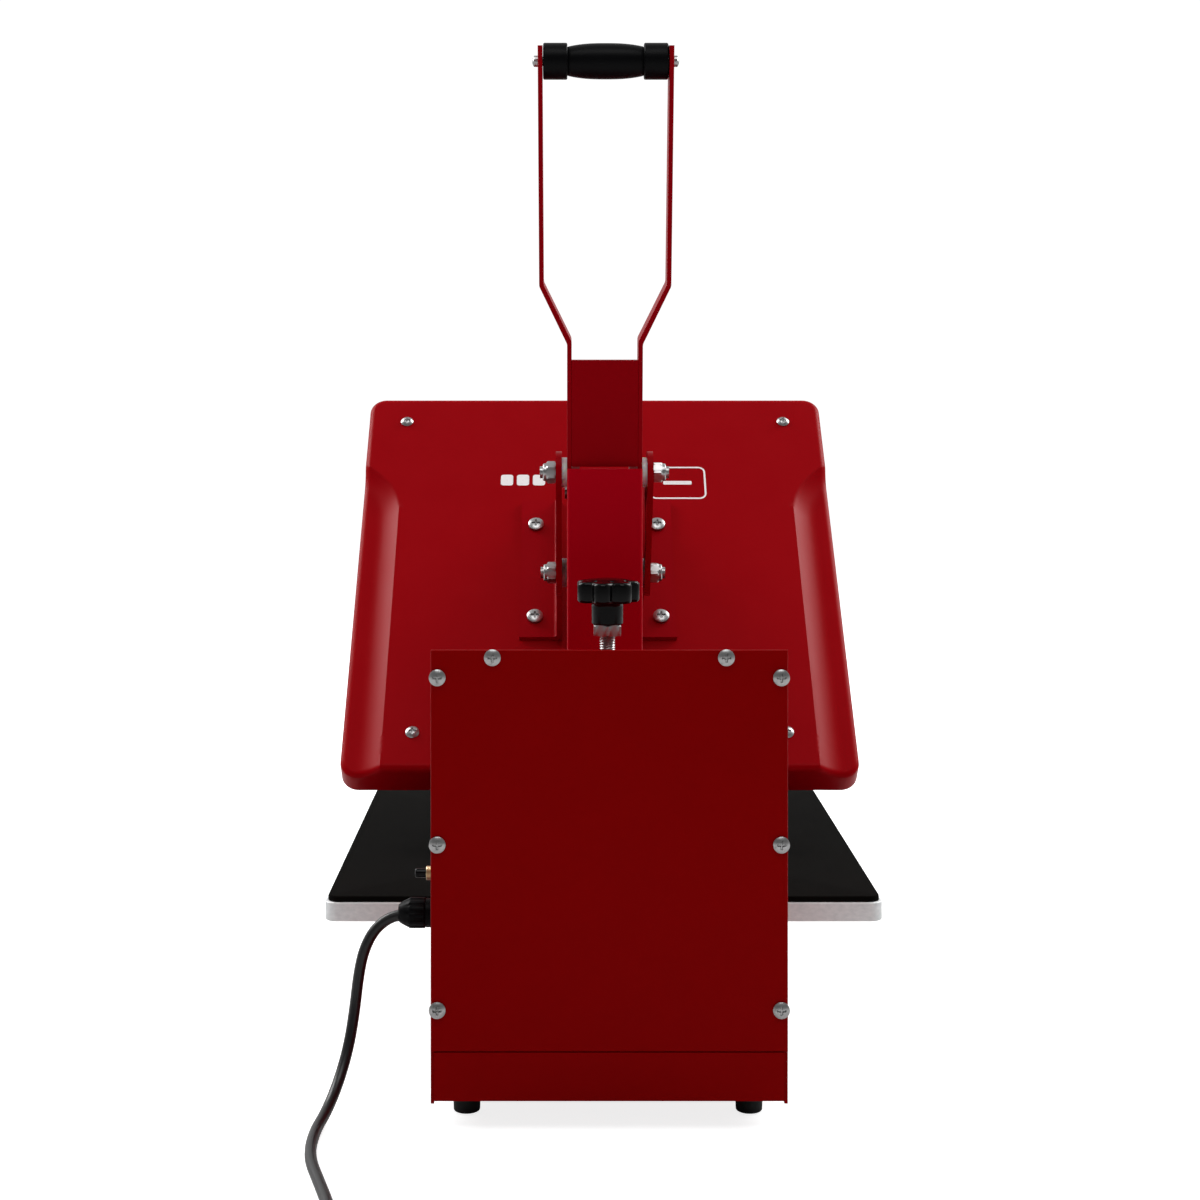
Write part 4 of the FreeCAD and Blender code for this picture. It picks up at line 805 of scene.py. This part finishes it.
def grip_profile():
    """(radius, place along) from one end to the other, with rolled collar edges and a narrow neck."""
    barrel = [(11.7 - 2.1 * abs(x / 24.0) ** 2.6, x) for x in np.linspace(-24.0, 24.0, 33)]
    right = ([(9.3, 24.5), (9.4, 24.9), (11.0, 25.0)] + arc(11.0, 25.8, 0.9, -90, 0, 4)
             + arc(10.9, 39.6, 1.0, 0, 80, 5) + [(10.4, 40.7), (3.2, 40.7)])
    left = [(r, -x) for r, x in reversed(right)]
    return left + barrel + right + [(3.2, -40.7)]


grip = make_piece("grip_sleeve", [spun(grip_profile(), grip_middle, "x", 64)], 35)
finish(grip, "grip", "grip_foam", satin_black, "grip")

# %% [markdown]
# ## Gland, breaker and feet
# The gland has a flanged body and a dome nut with grip ribs. The ribs are a cosine of the angle,
# added to the radius where the nut is widest. The breaker's bush is threaded and holds a hex nut.
# Its case, behind the wall, is a plain moulded block drawn apart from the brass.

# %% Gland
GLAND = (60.0, 116.0)
WALL = 107.0


def ribbed(radius, height, theta):
    """Twelve ribs: the radius falls by up to 0.6 mm between them, on the widest part only."""
    return radius - 0.6 * (0.5 - 0.5 * np.cos(12 * theta)) ** 3 * np.clip((radius - 8.8) / 0.6, 0, 1)


gland_place = spot(WALL, *GLAND)
flange = [(3.6, 0), (9.3, 0), (9.7, 0.5), (9.7, 2.6), (9.2, 3.0), (8.9, 3.2), (8.9, 6.6), (3.6, 6.9),
          (3.6, 0)]
flange_piece = make_piece("gland_flange", [spun(flange, gland_place, "x", 72)], 35)
finish(flange_piece, "frame", "black_plastic", satin_black, "gland_body")
dome = ([(3.6, 7.0), (9.0, 7.0), (9.6, 7.6), (9.6, 16.0)] + arc(7.6, 16.0, 2.0, 0, 50, 5)
        + [(7.6, 20.2), (6.1, 22.8), (5.2, 23.7), (4.2, 24.0), (3.6, 23.4), (3.6, 7.0)])
dome_nut = make_piece("gland_dome_nut", [spun(dome, gland_place, "x", 144, ribbed)], 40)
finish(dome_nut, "frame", "black_plastic", satin_black, "gland_nut")

# %% Breaker
BREAKER = (60.0, 141.0)
breaker_place = spot(WALL, *BREAKER)


def bush_thread(radius, height, theta):
    """A fine thread on the bush's outside."""
    wave = np.abs(((height / 0.75 - theta / (2 * math.pi)) % 1.0) * 2 - 1)
    return np.where(np.abs(radius - 4.5) < 0.01, radius - 0.3 * wave, radius)


bush = ([(3.2, 3.0), (4.1, 3.0)] + [(4.5, h) for h in np.arange(3.1, 6.2, 0.12)]
        + [(4.1, 6.5), (3.2, 6.5), (3.2, 3.0)])
hex_nut = [(4.4, 0), (5.4, 0), (6.0, 0.4), (6.0, 2.6), (5.4, 3.0), (4.4, 3.0), (4.4, 0)]
CASE_LOW, CASE_HIGH = 135.0, 159.0
CASE_HALF_X, CASE_HALF_Y = 16.0, 8.0
CASE_MIDDLE = WALL - 18.0
CASE_EDGE = 0.6
case_rings = slab_rings(CASE_LOW, CASE_HIGH, CASE_EDGE, CASE_EDGE, 7.9)
case_points, case_faces = stacked(case_rings, CASE_HALF_X, CASE_HALF_Y, 1.0, BREAKER[0], side=8, corner=4)
case_points[..., 0] += CASE_MIDDLE * MM
breaker_case = make_piece("breaker_case", [(case_points, case_faces)], 40)
finish(breaker_case, "frame", "black_plastic", satin_black, "breaker_body")
breaker_nut = make_piece("breaker_bush_nut", [spun(bush, breaker_place, "x", 48, bush_thread),
                                              spun(hex_nut, breaker_place, "x", 72, flats(10.4))], 35)
finish(breaker_nut, "frame", "brass", brass, "breaker_nut")
button = [(0, -8), (2.95, -8), (2.95, 12.4)] + arc(1.95, 12.5, 1.0, 0, 80, 5) + [(0, 13.5)]
reset = make_piece("reset_cap", [spun(button, breaker_place, "x", 40)], 40)
finish(reset, "reset_button", "black_plastic", gloss_black, "reset_button")

# %% Feet
foot_profile = ([(0, 0.0), (6.9, 0.0)] + arc(6.9, 1.3, 1.3, -90, -12, 5)
                + [(8.4, 8), (8.8, 16), (9.4, 44.5), (9.2, 45.5), (0, 45.5)])
foot_parts = [spun(foot_profile, spot(x, f, 0), "z", 48) for x in (-87.0, 87.0) for f in (38.0, 446.0)]
rubber_feet = make_piece("rubber_feet", foot_parts, 40)
finish(rubber_feet, "frame", "rubber", rubber, "feet")

# %% [markdown]
# ## Finishes for the CAD parts
# The folded sheets, plates and bolts are already the right shape, so they stay as they are and
# only take a finish. Each part's record slot names its kind of surface, but the column and the yoke
# and handle plates take the reds painted lighter, as painted light.

# %% CAD finishes
BY_SLOT = {"red_paint": powder, "red_cover": enamel, "zinc": zinc, "steel": steel, "cast_aluminium": cast,
           "silicone": silicone, "rubber": rubber, "black_plastic": gloss_black, "grip_foam": satin_black,
           "nylon": nylon, "display": smoked, "board": board_green, "brass": brass, "insulation": fibre,
           "cord": sheath}
slots = {part["node"]: part["material_slot"] for part in frame["record"]["subparts"]}
PLATES = ("handle_bars", "handle_web", "yoke_plate_left", "yoke_plate_right")
# Painted light: the column and the plates get reds painted lighter than the body's.
painted_light_reds = {"column": column_red_painted_light, **{name: plate_red_painted_light for name in PLATES}}
for name, node in nodes.items():
    material = painted_light_reds.get(name, BY_SLOT[slots[name]])
    if not node.material_slots:
        node.data.materials.append(material)
    for entry in node.material_slots:
        entry.material = material
print("finished CAD nodes", len(nodes))
